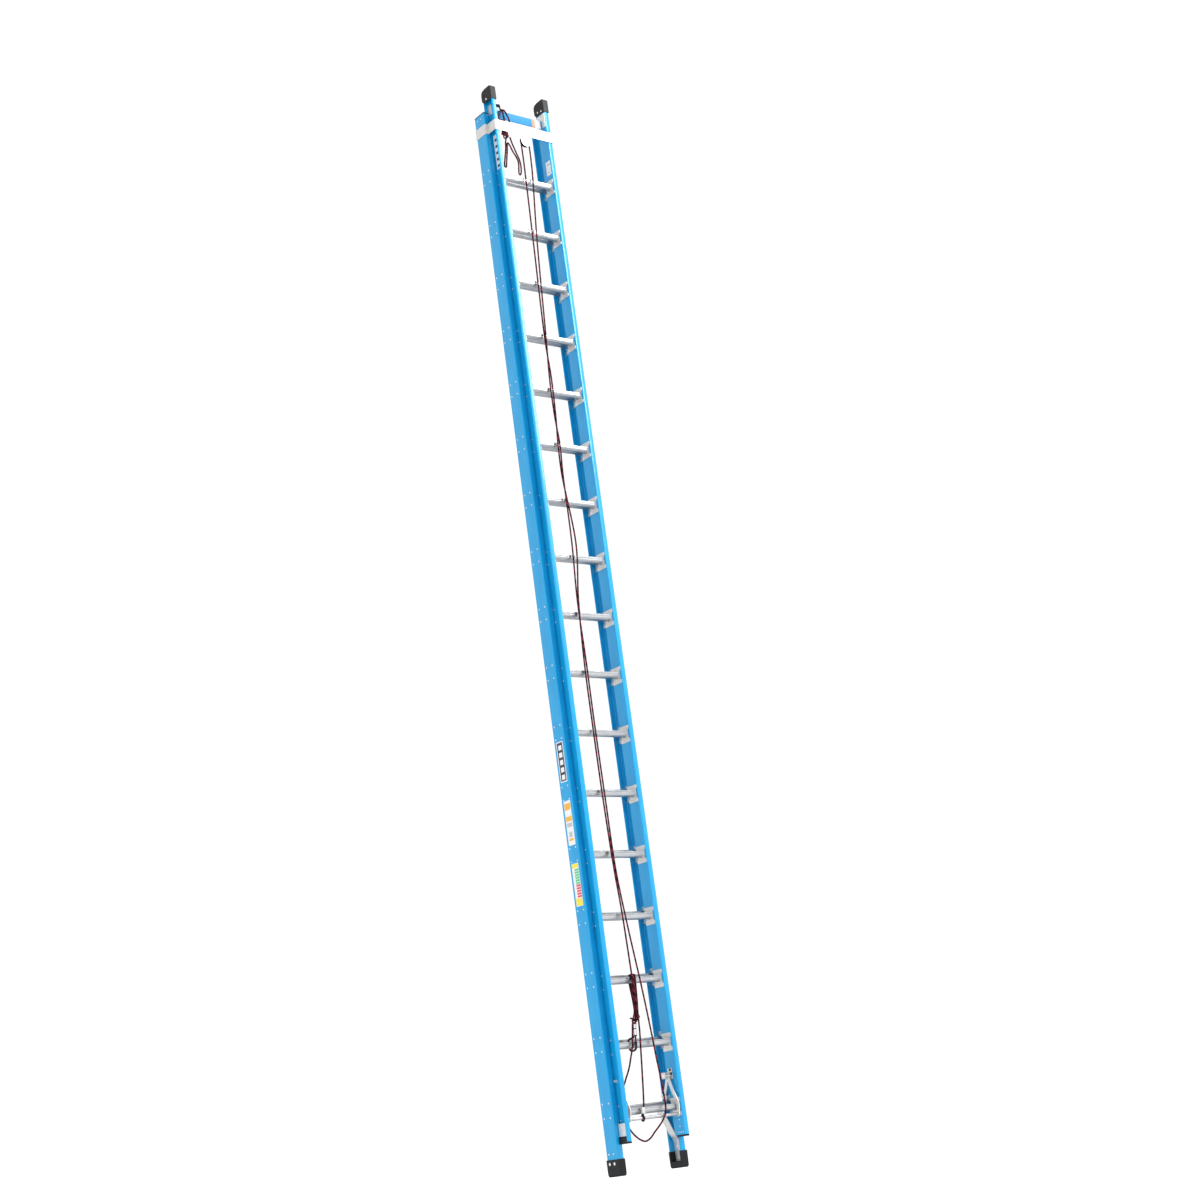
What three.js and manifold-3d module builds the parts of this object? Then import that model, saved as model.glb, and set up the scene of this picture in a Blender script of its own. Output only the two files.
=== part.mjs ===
// Fibreglass two-section extension ladder: base section, sliding fly section, gravity rung lock,
// head strap with pulley, hauling rope and tie rope. Millimetres, +Z up the rails, -Y to the climber.
import * as THREE from 'three';
import { mergeVertices } from 'three/addons/utils/BufferGeometryUtils.js';
import Module from 'manifold-3d';

const wasm = await Module();
wasm.setup();

// ---- driving dimensions -------------------------------------------------------------------
const GAP = 0.3;                    // air left between pieces that touch
const ARC_STEPS = 4;                // facets in a small corner

const RUNG_PITCH = 305;
const RUNG_COUNT = 17;
const BASE_RUNG_Z = 300;            // centre of the lowest base rung
const FLY_RUNG_Z = 281;             // centre of the lowest fly rung, fly fully down

const BASE_FRONT_Y = -9.6;
const BASE_REAR_Y = 76.8;
const BASE_HALF_WIDTH = 207;
const BASE_FLANGE = 34;
const BASE_BOTTOM_Z = 30;
const BASE_TOP_Z = 5549;

const FLY_FRONT_Y = -73.5;
const FLY_DEPTH = 78;
const FLY_INNER_X = 161.5;
const FLY_FLANGE = 27.1;
const FLY_BOTTOM_Z = 150;
const FLY_TOP_Z = 5636;

const WALL = 4.5;                   // rail web and flange thickness
const RAIL_CORNER = 5;              // outer corner radius of a rail

const RUNG_DEPTH = 38;
const RUNG_HEIGHT = 31;
const PLATE_DEPTH = 70;             // rung end plate, along Y
const PLATE_HEIGHT = 86;
const PLATE_THICK = 2.5;
const PLATE_NOTCH = 8;

const BOOT_TOP_Z = 78;
const BOOT_HALF_WIDTH = 211;
const BOOT_INNER_X = 170;
const BOOT_FRONT_Y = -14;
const BOOT_REAR_Y = 79.5;
const BOOT_CHAMFER = 12;

const BOOT_LINING = 3;              // rubber inside each flange of the rail

const BRACE_THICK = 3;
const BRACE_WIDTH = 45;
const BRACE_Y = 42;

const BASE_CAP_HEIGHT = 6;          // thin edge cap on a base rail
const FLY_CAP_SKIRT = 27;           // how far a fly cap reaches down the rail
const FLY_CAP_RISE = 53;            // and how far it stands above it
const FLY_CAP_WALL = 4;
const FLY_CAP_REAR_WALL = 7;
const PLUG_DEPTH = 24;              // plug in the lower end of a fly rail
const PLUG_PLATE = 9;

const STRAP_BOTTOM_Z = 5422;
const STRAP_TOP_Z = 5480;
const STRAP_THICK = 4;
const CHEEK_HALF_WIDTH = 30;
const CHEEK_THICK = 3;

const PULLEY_X = 5;
const PULLEY_Z = 5391;
const ROPE_Y = -66;                 // plane of the hauling rope at the pulley
const SHEAVE_RADIUS = 29;
const SHEAVE_HALF_WIDTH = 7.2;
const GROOVE_RADIUS = 19.2;
const ROPE_WRAP_RADIUS = 24.5;
const AXLE_RADIUS = 5;
const AXLE_HEAD_RADIUS = 8;
const BOLT_HEAD_RADIUS = 9;

const LOCK_PIVOT_Y = -17;
const LOCK_PIVOT_Z = 430;
const LOCK_INNER_X = 146;
const LOCK_THICK = 6;
const LOCK_HUB_RADIUS = 14;
const LOCK_EYE_RADIUS = 12;
const LOCK_LEG_WIDTH = 18;
const HOOK_RADIUS = 117.7;
const HOOK_DEPTH = 22;
const TIE_BAR_Y = -58;
const TIE_BAR_Z = 247;
const TIE_BAR_RADIUS = 8;
const TIE_EYE_RADIUS = 13.4;

const POLE_STRAP_Y = -40;
const POLE_STRAP_Z = 5542;
const POLE_STRAP_WIDTH = 50;
const POLE_STRAP_THICK = 4;

const ROPE_DIAMETER = 8;
const ROPE_SIDES = 8;

// ---- finishes -----------------------------------------------------------------------------
const finishes = {
  fibreglass: { color: 0x2f9fe0, roughness: 0.35, metalness: 0 },
  aluminium: { color: 0xd3d6d8, roughness: 0.4, metalness: 0.9 },
  rubber: { color: 0x1f2022, roughness: 0.8, metalness: 0 },
  plastic: { color: 0x17181a, roughness: 0.55, metalness: 0 },
  webbing: { color: 0x2a8ce0, roughness: 0.8, metalness: 0 },
  rope: { color: 0x6e2329, roughness: 0.9, metalness: 0 },
};

const ladder = new THREE.Group();

function addPart(name, geometry, finish) {
  const mesh = new THREE.Mesh(geometry, new THREE.MeshStandardMaterial(finishes[finish]));
  mesh.name = name;
  ladder.add(mesh);
}

// ---- solids: joining and cutting ------------------------------------------------------------
function toSolid(geometry) {
  const bare = geometry.clone();
  bare.deleteAttribute('normal');
  bare.deleteAttribute('uv');
  const merged = mergeVertices(bare, 1e-4);
  return new wasm.Manifold(new wasm.Mesh({
    numProp: 3,
    vertProperties: new Float32Array(merged.attributes.position.array),
    triVerts: new Uint32Array(merged.index.array),
  }));
}

function toGeometry(solid) {
  const mesh = solid.getMesh();
  const geometry = new THREE.BufferGeometry();
  geometry.setAttribute('position', new THREE.BufferAttribute(mesh.vertProperties, 3));
  geometry.setIndex(new THREE.BufferAttribute(mesh.triVerts, 1));
  geometry.computeVertexNormals();
  return geometry;
}

function joined(geometries) {
  return toGeometry(geometries.map(toSolid).reduce((whole, piece) => whole.add(piece)));
}

function cut(geometry, cutters) {
  const start = toSolid(geometry);
  return toGeometry(cutters.map(toSolid).reduce((whole, piece) => whole.subtract(piece), start));
}

// ---- solids: outlines pushed along an axis --------------------------------------------------
function push(outline, depth) {
  const shape = new THREE.Shape(outline.map(([a, b]) => new THREE.Vector2(a, b)));
  return new THREE.ExtrudeGeometry(shape, { depth, bevelEnabled: false });
}

// outline in (x, y)
function alongZ(outline, z0, z1) {
  return push(outline, z1 - z0).translate(0, 0, z0);
}

// outline in (y, z)
function alongX(outline, x0, x1) {
  const turn = new THREE.Matrix4().makeBasis(
    new THREE.Vector3(0, 1, 0), new THREE.Vector3(0, 0, 1), new THREE.Vector3(1, 0, 0));
  return push(outline, x1 - x0).applyMatrix4(turn).translate(x0, 0, 0);
}

// outline in (x, z)
function alongY(outline, y0, y1) {
  return push(outline, y1 - y0).rotateX(Math.PI / 2).translate(0, y1, 0);
}

function block([x0, x1], [y0, y1], [z0, z1]) {
  return new THREE.BoxGeometry(x1 - x0, y1 - y0, z1 - z0)
    .translate((x0 + x1) / 2, (y0 + y1) / 2, (z0 + z1) / 2);
}

// the span between a and b on the given side of the ladder, lowest first
function span(side, a, b) {
  return side > 0 ? [a, b] : [-b, -a];
}

function arc(cx, cy, radius, fromDeg, toDeg, steps = ARC_STEPS) {
  return Array.from({ length: steps + 1 }, (_, i) => {
    const angle = THREE.MathUtils.degToRad(fromDeg + (toDeg - fromDeg) * i / steps);
    return [cx + radius * Math.cos(angle), cy + radius * Math.sin(angle)];
  });
}

function turned(profile, axis, place, segments = 28) {
  const points = profile.map(([r, t]) => new THREE.Vector2(r, t));
  const geometry = new THREE.LatheGeometry(points, segments);
  if (axis === 'x') {
    geometry.rotateZ(-Math.PI / 2);
  }
  return geometry.translate(...place);
}

// ---- rails ----------------------------------------------------------------------------------
// Channel in (x, y): web on the webX side, flanges reaching to tipX, between y0 and y1.
function channel(webX, tipX, y0, y1, grow = 0) {
  const out = Math.sign(webX - tipX);
  const round = RAIL_CORNER;
  const outerWeb = webX + out * grow;
  const innerWeb = webX - out * (WALL + grow);
  const front = y0 - grow;
  const rear = y1 + grow;
  const mirror = ([x, y]) => [outerWeb - out * (round - x), y];
  const frontCorner = arc(0, front + round, round, -90, 0).map(mirror);
  const rearCorner = arc(0, rear - round, round, 0, 90).map(mirror);
  const tip = tipX - out * grow;
  return [
    [tip, front],
    ...frontCorner,
    ...rearCorner,
    [tip, rear],
    [tip, rear - WALL - 2 * grow],
    [innerWeb, rear - WALL - 2 * grow],
    [innerWeb, front + WALL + 2 * grow],
    [tip, front + WALL + 2 * grow],
  ];
}

function baseChannel(side, grow) {
  const tip = BASE_HALF_WIDTH - BASE_FLANGE;
  return channel(side * BASE_HALF_WIDTH, side * tip, BASE_FRONT_Y, BASE_REAR_Y, grow);
}

function flyChannel(side) {
  const tip = FLY_INNER_X + FLY_FLANGE;
  return channel(side * FLY_INNER_X, side * tip, FLY_FRONT_Y, FLY_FRONT_Y + FLY_DEPTH);
}

function rod(radius, x0, x1, y, z, segments = 20) {
  return turned([[0, x0], [radius, x0], [radius, x1], [0, x1]], 'x', [0, y, z], segments);
}

function addRails(side, label) {
  addPart(`base_rail_${label}`, alongZ(baseChannel(side), BASE_BOTTOM_Z, BASE_TOP_Z), 'fibreglass');
  const rail = alongZ(flyChannel(side), FLY_BOTTOM_Z, FLY_TOP_Z);
  const reach = span(side, FLY_INNER_X - WALL, FLY_INNER_X + 2 * WALL);
  const hole = rod(AXLE_RADIUS + GAP, reach[0], reach[1], LOCK_PIVOT_Y, LOCK_PIVOT_Z);
  addPart(`fly_rail_${label}`, cut(rail, [hole]), 'fibreglass');
}

// ---- rungs ----------------------------------------------------------------------------------
// Flat tread on top, rounded belly below.
function rungOutline(y, z) {
  const half = RUNG_DEPTH / 2;
  const top = z + RUNG_HEIGHT / 2;
  const shoulder = 9;
  const edge = 2;
  const belly = Array.from({ length: 9 }, (_, i) => {
    const angle = Math.PI * i / 8;
    const drop = (RUNG_HEIGHT - shoulder) * Math.sin(angle);
    return [y + half * Math.cos(angle), top - shoulder - drop];
  });
  return [
    ...belly,
    [y - half, top - edge], [y - half + edge, top], [y + half - edge, top], [y + half, top - edge],
  ];
}

// Riveting plate swaged to a rung end: waisted where the rung leaves it.
function plateOutline(y, z) {
  const d = PLATE_DEPTH / 2;
  const h = PLATE_HEIGHT / 2;
  const waist = RUNG_HEIGHT / 2 + 3;
  const inner = d - PLATE_NOTCH;
  const half = [
    [d, h], [d, waist + PLATE_NOTCH], [inner, waist],
    [inner, -waist], [d, -waist - PLATE_NOTCH], [d, -h],
  ];
  return [
    ...half.map(([a, b]) => [y + a, z + b]),
    ...half.map(([a, b]) => [y - a, z - b]),
  ];
}

function rung(y, z, halfLength) {
  const plates = [-halfLength, halfLength - PLATE_THICK].map(
    (x) => alongX(plateOutline(y, z), x, x + PLATE_THICK));
  const tube = alongX(rungOutline(y, z), -halfLength + 1, halfLength - 1);
  return joined([tube, ...plates]);
}

const baseRungY = (BASE_FRONT_Y + BASE_REAR_Y) / 2;
const flyRungY = FLY_FRONT_Y + FLY_DEPTH / 2;

function addRungs() {
  const baseHalf = BASE_HALF_WIDTH - WALL - GAP;
  const flyHalf = FLY_INNER_X - GAP;
  for (let i = 0; i < RUNG_COUNT; i++) {
    const number = String(i + 1).padStart(2, '0');
    const rise = i * RUNG_PITCH;
    addPart(`base_rung_${number}`, rung(baseRungY, BASE_RUNG_Z + rise, baseHalf), 'aluminium');
    addPart(`fly_rung_${number}`, rung(flyRungY, FLY_RUNG_Z + rise, flyHalf), 'aluminium');
  }
}

// ---- base section ends ------------------------------------------------------------------------
// Rubber boot: a cup round the foot of the rail, lining its flanges and open on the inner side.
function boot(side) {
  const sole = [
    [BOOT_FRONT_Y, BOOT_TOP_Z],
    [BOOT_FRONT_Y, BOOT_CHAMFER],
    ...arc(BOOT_FRONT_Y + BOOT_CHAMFER, BOOT_CHAMFER, BOOT_CHAMFER, 180, 270).slice(1),
    ...arc(BOOT_REAR_Y - BOOT_CHAMFER, BOOT_CHAMFER, BOOT_CHAMFER, 270, 360),
    [BOOT_REAR_Y, BOOT_TOP_Z],
  ];
  const [x0, x1] = span(side, BOOT_INNER_X, BOOT_HALF_WIDTH);
  const inside = [BASE_BOTTOM_Z - GAP, BOOT_TOP_Z + 1];
  const cavity = alongZ(baseChannel(side, GAP), ...inside);
  const webInner = BASE_HALF_WIDTH - WALL;
  const lining = WALL + GAP + BOOT_LINING;
  const recess = block(
    span(side, BOOT_INNER_X - 1, webInner + 1),
    [BASE_FRONT_Y + lining, BASE_REAR_Y - lining],
    inside);
  return cut(alongX(sole, x0, x1), [cavity, recess]);
}

// Outline of a bar of even thickness that follows a smooth line.
function ribbon(points, thickness, steps) {
  const line = new THREE.SplineCurve(points.map(([a, b]) => new THREE.Vector2(a, b)));
  const left = [];
  const right = [];
  for (let i = 0; i <= steps; i++) {
    const at = line.getPoint(i / steps);
    const way = line.getTangent(i / steps);
    left.push([at.x - way.y * thickness / 2, at.y + way.x * thickness / 2]);
    right.push([at.x + way.y * thickness / 2, at.y - way.x * thickness / 2]);
  }
  return [...left, ...right.reverse()];
}

// Curved foot brace: from under the lowest rung, out to the web and down into the boot.
function brace(side) {
  const webLine = BASE_HALF_WIDTH - WALL - GAP - BRACE_THICK / 2;
  const rungLine = BASE_RUNG_Z - RUNG_HEIGHT / 2 - GAP - BRACE_THICK / 2;
  const route = [
    [80, rungLine], [100, rungLine - 1], [118, rungLine - 14], [140, 236], [163, 190],
    [182, 152], [webLine - 4, 130], [webLine, 112], [webLine, 70], [webLine, BASE_BOTTOM_Z + 2],
  ];
  const outline = ribbon(route.map(([x, z]) => [side * x, z]), BRACE_THICK, 27);
  return alongY(outline, BRACE_Y - BRACE_WIDTH / 2, BRACE_Y + BRACE_WIDTH / 2);
}

// Thin edge cap on the top of a base rail, clear of the fly flange inside it.
function baseTopCap(side) {
  const rim = 0.5;
  const web = side * (BASE_HALF_WIDTH + rim);
  const tip = side * (BASE_HALF_WIDTH - BASE_FLANGE);
  const outline = channel(web, tip, BASE_FRONT_Y - rim, BASE_REAR_Y + rim);
  return alongZ(outline, BASE_TOP_Z + GAP, BASE_TOP_Z + BASE_CAP_HEIGHT);
}

// ---- fly section ends ---------------------------------------------------------------------------
const flyRearY = FLY_FRONT_Y + FLY_DEPTH;

// Rubber cap over a fly rail, rounded where it leans on a wall and cut back below at the rear.
function flyTopCap(side) {
  const low = FLY_TOP_Z - FLY_CAP_SKIRT;
  const high = FLY_TOP_Z + FLY_CAP_RISE;
  const front = FLY_FRONT_Y - FLY_CAP_WALL;
  const rear = flyRearY + FLY_CAP_REAR_WALL;
  const outline = [
    [front, low], [rear - 16, low], [rear - 4, low + 14], [rear, low + 26],
    [rear, high - 24], [rear - 3, high - 14], [rear - 10, high - 6], [rear - 21, high - 1.5],
    [rear - 32, high], [front + 8, high], [front, high - 8],
  ];
  const outerX = FLY_INNER_X + FLY_FLANGE;
  const [x0, x1] = span(side, FLY_INNER_X - FLY_CAP_WALL, outerX + FLY_CAP_WALL);
  const socket = block(
    span(side, FLY_INNER_X - GAP, outerX + GAP),
    [FLY_FRONT_Y - GAP, flyRearY + GAP],
    [low - 1, FLY_TOP_Z + GAP]);
  return cut(alongX(outline, x0, x1), [socket]);
}

function flyEndPlug(side) {
  const rear = BASE_FRONT_Y - 1;
  const outerX = FLY_INNER_X + FLY_FLANGE;
  const plug = block(
    span(side, FLY_INNER_X + WALL + GAP, outerX - 1),
    [FLY_FRONT_Y + WALL + GAP, rear],
    [FLY_BOTTOM_Z - 2, FLY_BOTTOM_Z + PLUG_DEPTH]);
  const plate = block(
    span(side, FLY_INNER_X, outerX),
    [FLY_FRONT_Y, rear],
    [FLY_BOTTOM_Z - PLUG_PLATE, FLY_BOTTOM_Z - GAP]);
  return joined([plug, plate]);
}

// ---- head strap and pulley ------------------------------------------------------------------------
// Flat bar bent round both rails, hat shaped from above, with the pulley cheek under its middle.
function headStrap() {
  const outer = BASE_HALF_WIDTH + GAP + STRAP_THICK - 0.5;
  const inner = BASE_HALF_WIDTH + GAP;
  const stepFront = BASE_FRONT_Y - GAP - STRAP_THICK;
  const sideInner = FLY_INNER_X + FLY_FLANGE + 0.5;
  const sideOuter = sideInner + STRAP_THICK;
  const front = FLY_FRONT_Y - 2 - STRAP_THICK;
  const half = [
    [outer, BASE_REAR_Y], [outer, stepFront], [sideOuter, stepFront], [sideOuter, front],
  ];
  const halfInside = [
    [sideInner, front + STRAP_THICK], [sideInner, stepFront + STRAP_THICK],
    [inner, stepFront + STRAP_THICK], [inner, BASE_REAR_Y],
  ];
  const outline = [
    ...half, ...half.map(([x, y]) => [-x, y]).reverse(),
    ...halfInside.map(([x, y]) => [-x, y]).reverse(), ...halfInside,
  ];
  const bar = alongZ(outline, STRAP_BOTTOM_Z, STRAP_TOP_Z);
  const cheekTop = STRAP_BOTTOM_Z + 18;
  const cheekLine = [
    [PULLEY_X + CHEEK_HALF_WIDTH, cheekTop],
    ...arc(PULLEY_X, PULLEY_Z, CHEEK_HALF_WIDTH, 0, -180, 12),
    [PULLEY_X - CHEEK_HALF_WIDTH, cheekTop],
  ];
  const cheekRear = front + STRAP_THICK + 1;
  const cheek = alongY(cheekLine, cheekRear - CHEEK_THICK, cheekRear);
  const bore = AXLE_RADIUS + GAP;
  const axleHole = turned(
    [[0, -5], [bore, -5], [bore, 5], [0, 5]], 'y', [PULLEY_X, cheekRear, PULLEY_Z], 20);
  return cut(joined([bar, cheek]), [axleHole]);
}

function pulleyAxle() {
  const headRear = FLY_FRONT_Y - 1 - CHEEK_THICK - GAP;
  const headFront = headRear - 1.7;
  const shaftEnd = ROPE_Y + SHEAVE_HALF_WIDTH + 0.5;
  const profile = [
    [0, headFront], [AXLE_HEAD_RADIUS, headFront], [AXLE_HEAD_RADIUS, headRear],
    [AXLE_RADIUS, headRear], [AXLE_RADIUS, shaftEnd],
    [BOLT_HEAD_RADIUS, shaftEnd], [BOLT_HEAD_RADIUS, shaftEnd + 2], [0, shaftEnd + 2],
  ];
  return turned(profile, 'y', [PULLEY_X, 0, PULLEY_Z], 20);
}

function pulleySheave() {
  const w = SHEAVE_HALF_WIDTH;
  const lip = 5.2;
  const floor = 4.7;
  const bore = AXLE_RADIUS + 0.5;
  const profile = [
    [bore, -w], [SHEAVE_RADIUS, -w], [SHEAVE_RADIUS, -lip], [GROOVE_RADIUS, -floor],
    [GROOVE_RADIUS, floor], [SHEAVE_RADIUS, lip], [SHEAVE_RADIUS, w], [bore, w], [bore, -w],
  ];
  return turned(profile, 'y', [PULLEY_X, ROPE_Y, PULLEY_Z], 32);
}

function poleStrap() {
  const reach = FLY_INNER_X - GAP;
  const about = (centre, width) => [centre - width / 2, centre + width / 2];
  return block(
    [-reach, reach],
    about(POLE_STRAP_Y, POLE_STRAP_THICK),
    about(POLE_STRAP_Z, POLE_STRAP_WIDTH));
}

// ---- rung lock --------------------------------------------------------------------------------
// Swinging arm: hub on the pivot bolt, front leg down to the tie bar, rear leg to a curved hook that
// sits over the base rung. The hook lies inside a circle round the pivot, so it swings clear.
function lockArm(side) {
  const [x0, x1] = span(side, LOCK_INNER_X, LOCK_INNER_X + LOCK_THICK);
  const pivot = [LOCK_PIVOT_Y, LOCK_PIVOT_Z];
  const tieBar = [TIE_BAR_Y, TIE_BAR_Z];
  const leg = (route, steps) => alongX(ribbon(route, LOCK_LEG_WIDTH, steps), x0, x1);
  const hookLine = [
    ...arc(...pivot, HOOK_RADIUS, -75, -53, 6),
    ...arc(...pivot, HOOK_RADIUS - HOOK_DEPTH, -53, -75, 6),
  ];
  const arm = joined([
    rod(LOCK_HUB_RADIUS, x0, x1, ...pivot, 24),
    rod(LOCK_EYE_RADIUS, x0, x1, ...tieBar, 20),
    leg([pivot, [-29, 390], [-44, 348], [-62, 309], [-67, 284], tieBar], 15),
    leg([pivot, [6, 375], [26, 335]], 4),
    alongX(hookLine, x0, x1),
  ]);
  return cut(arm, [rod(AXLE_RADIUS + GAP, x0 - 1, x1 + 1, ...pivot)]);
}

function lockPivot(side) {
  const armOuter = LOCK_INNER_X + LOCK_THICK;
  const webOuter = FLY_INNER_X + WALL;
  const stations = [
    [AXLE_HEAD_RADIUS, LOCK_INNER_X - 7], [AXLE_HEAD_RADIUS, LOCK_INNER_X - GAP],
    [AXLE_RADIUS, LOCK_INNER_X - GAP], [AXLE_RADIUS, armOuter + GAP],
    [BOLT_HEAD_RADIUS, armOuter + GAP], [BOLT_HEAD_RADIUS, FLY_INNER_X - GAP],
    [AXLE_RADIUS, FLY_INNER_X - GAP], [AXLE_RADIUS, webOuter + GAP],
    [BOLT_HEAD_RADIUS, webOuter + GAP], [BOLT_HEAD_RADIUS, webOuter + 5],
  ];
  const line = side > 0 ? stations : stations.map(([r, x]) => [r, -x]).reverse();
  const profile = [[0, line[0][1]], ...line, [0, line[line.length - 1][1]]];
  return turned(profile, 'x', [0, LOCK_PIVOT_Y, LOCK_PIVOT_Z], 20);
}

// ---- ropes --------------------------------------------------------------------------------------
class RopeRoute extends THREE.CatmullRomCurve3 {
  getPointAt(u) {
    return this.getPoint(u);
  }

  getTangentAt(u) {
    return this.getTangent(u);
  }
}

function ropeSolid(route, diameter) {
  const points = route.map(([x, y, z]) => new THREE.Vector3(x, y, z));
  const curve = new RopeRoute(points, false, 'centripetal');
  const girth = arc(0, 0, diameter / 2, 0, 360, ROPE_SIDES).slice(0, -1);
  const section = new THREE.Shape(girth.map(([a, b]) => new THREE.Vector2(a, b)));
  return new THREE.ExtrudeGeometry(section, { steps: route.length - 1, extrudePath: curve });
}

// Eye spliced round the lock tie bar, then up to the pulley, twisting with the other fall.
const eyeAtTieBar = arc(TIE_BAR_Y, TIE_BAR_Z, TIE_EYE_RADIUS, 135, 405, 6)
  .map(([y, z], i) => [-71 + i, y, z]);

const haulingFall = [
  [-73, -66, 292], [-72, -70, 268], ...eyeAtTieBar, [-63, -58, 272], [-62, -66, 292],
  [-56, -68, 340], [-40, -70, 510], [-28, -73.5, 690], [-34, -73.5, 960], [-42, -73.5, 1230],
  [-53.5, -73, 1420], [-62, -70, 1780], [-60, -63, 2150], [-62, -66.5, 2480], [-50, -71.5, 2800],
  [-14, -66.5, 3100], [-42, -61.5, 3480], [-44, -66.5, 3640], [-38, -71.5, 3800], [-30, -66.5, 4010],
  [-34, -61.5, 4217], [-28, -66, 4800], [-20.5, -66, 5250],
];

const overPulley = arc(PULLEY_X, PULLEY_Z, ROPE_WRAP_RADIUS, 180, 0, 6)
  .map(([x, z]) => [x, ROPE_Y, z]);

const handFall = [
  [30, -66, 5250], [-2, -66, 4800], [-34, -71.5, 4217], [-42, -66.5, 4010], [-38, -61.5, 3800],
  [-32, -66.5, 3640], [-42, -71.5, 3480], [-40, -66.5, 3100], [-50, -61.5, 2800], [-50, -66.5, 2480],
  [-54, -72, 2150], [-50, -73, 1780], [-44, -73.5, 1420], [-18, -73.5, 1150], [2, -73.5, 984],
  [19, -73.5, 844], [42, -72, 624], [53, -70, 510.4],
];

// The free end: a slack bight under the bottom rung, then up behind it on the left to the hank.
const bight = [
  [53, -70, 509.6], [58, -70.5, 460], [66, -71, 346], [68, -71, 294], [62, -71, 258],
  [45, -71, 232], [18, -70, 205], [-15, -68, 178], [-45, -66, 152], [-72, -60, 141], [-100, -50, 155],
  [-122, -30, 190], [-132, -12, 235], [-135, -7, 300], [-134, -10, 370], [-122, -34, 430],
  [-110, -56, 480], [-94, -61, 530], [-78, -62, 575], [-68, -62, 630], [-56, -61.5, 690],
];

// Three long turns of spare rope hung over the third fly rung, leaning to the knot under them.
function hankTurns() {
  const turn = [
    [-61.5, 750], [-61.5, 898], [-57.5, 912.5], [-46, 917], [-24, 917], [-12.5, 912.5],
    [-8.5, 898], [-9.5, 870], [-26, 822], [-40, 765], [-44, 728], [-54, 714],
  ];
  const firstX = -24;
  const turnPitch = 9.5;
  const turns = 3;
  const frontY = -61.5;
  const topZ = 917;
  const lean = 0.06;                // sideways per millimetre of drop
  const slant = 0.35;               // and per millimetre of depth
  const points = [];
  for (let k = 0; k < turns; k++) {
    turn.forEach(([y, z], i) => {
      const drift = slant * (y - frontY) - lean * (topZ - z);
      points.push([firstX + turnPitch * (k + i / turn.length) + drift, y, z]);
    });
  }
  return points;
}

// End of the rope: an eye round the second fly rung.
const endEye = [
  [-16, -60, 716], [-30, -58.5, 697], [-42, -57, 684], [-46, -57, 660], [-48, -58, 628],
  [-50, -59.5, 600], [-52, -59.5, 578], [-53, -53, 565], [-54, -35, 560], [-55, -17, 565],
  [-56, -9.5, 578], [-57, -9.5, 600], [-58, -18, 614], [-59, -40, 618], [-60, -58, 622],
];

const haulingRoute = [...haulingFall, ...overPulley, ...handFall];
const freeEndRoute = [...bight, ...hankTurns(), ...endEye];

// Tie rope: a knotted lashing of three turns over the pole strap, with two hanging bights.
function lashingTurns() {
  const points = [];
  const turns = 3;
  for (let k = 0; k < turns; k++) {
    const x = -114 + 11 * k;
    const spread = -146 + 34 * k;
    const knotX = -122 + 9 * k;
    points.push(
      [x, -40, 5576], [x - 1, -48, 5569], [(x + spread) / 2 - 3, -55, 5546],
      [spread, -60, 5508], [(spread + knotX) / 2, -61, 5462], [knotX, -62, 5432]);
    if (k < turns - 1) {
      points.push(
        [knotX + 3, -54, 5418], [knotX + 5, -40, 5424], [x + 6, -31, 5480], [x + 9, -31, 5562]);
    }
  }
  return points;
}

const tieRoute = [
  [-141, -60, 5583], [-134, -58, 5589], [-126, -52, 5586], ...lashingTurns(),
  [-114, -65, 5400], [-124, -65, 5370], [-130, -63, 5318], [-143, -61, 5255], [-149, -61, 5225],
  [-147, -61, 5211], [-140, -61, 5213], [-133, -61, 5245], [-118, -61, 5318], [-110, -61, 5364],
  [-97, -61, 5350], [-82, -61, 5318], [-64, -61, 5290], [-54, -61, 5262], [-57, -61, 5215],
  [-59, -61, 5192], [-53, -61, 5184], [-44, -61, 5200], [-40, -61, 5240], [-44, -61, 5275],
  [-62, -62, 5318], [-84, -64, 5372], [-92, -65, 5400],
];

// ---- assembly -----------------------------------------------------------------------------------
addRungs();
for (const [side, label] of [[-1, 'left'], [1, 'right']]) {
  addRails(side, label);
  addPart(`base_boot_${label}`, boot(side), 'rubber');
  addPart(`base_brace_${label}`, brace(side), 'aluminium');
  addPart(`base_top_cap_${label}`, baseTopCap(side), 'plastic');
  addPart(`fly_top_cap_${label}`, flyTopCap(side), 'rubber');
  addPart(`fly_end_plug_${label}`, flyEndPlug(side), 'plastic');
  addPart(`lock_arm_${label}`, lockArm(side), 'aluminium');
  addPart(`lock_pivot_${label}`, lockPivot(side), 'aluminium');
}
const tieBarEnd = LOCK_INNER_X - GAP;
addPart('lock_tie_bar', rod(TIE_BAR_RADIUS, -tieBarEnd, tieBarEnd, TIE_BAR_Y, TIE_BAR_Z), 'aluminium');
addPart('head_strap', headStrap(), 'aluminium');
addPart('pulley_axle', pulleyAxle(), 'aluminium');
addPart('pulley_sheave', pulleySheave(), 'plastic');
addPart('pole_strap', poleStrap(), 'webbing');
addPart('halyard_rope', ropeSolid(haulingRoute, ROPE_DIAMETER), 'rope');
addPart('halyard_free_end', ropeSolid(freeEndRoute, ROPE_DIAMETER), 'rope');
addPart('tie_rope', ropeSolid(tieRoute, ROPE_DIAMETER), 'rope');

export default ladder;
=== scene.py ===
import math

import bmesh
import bpy
from mathutils import Matrix, Vector


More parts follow.
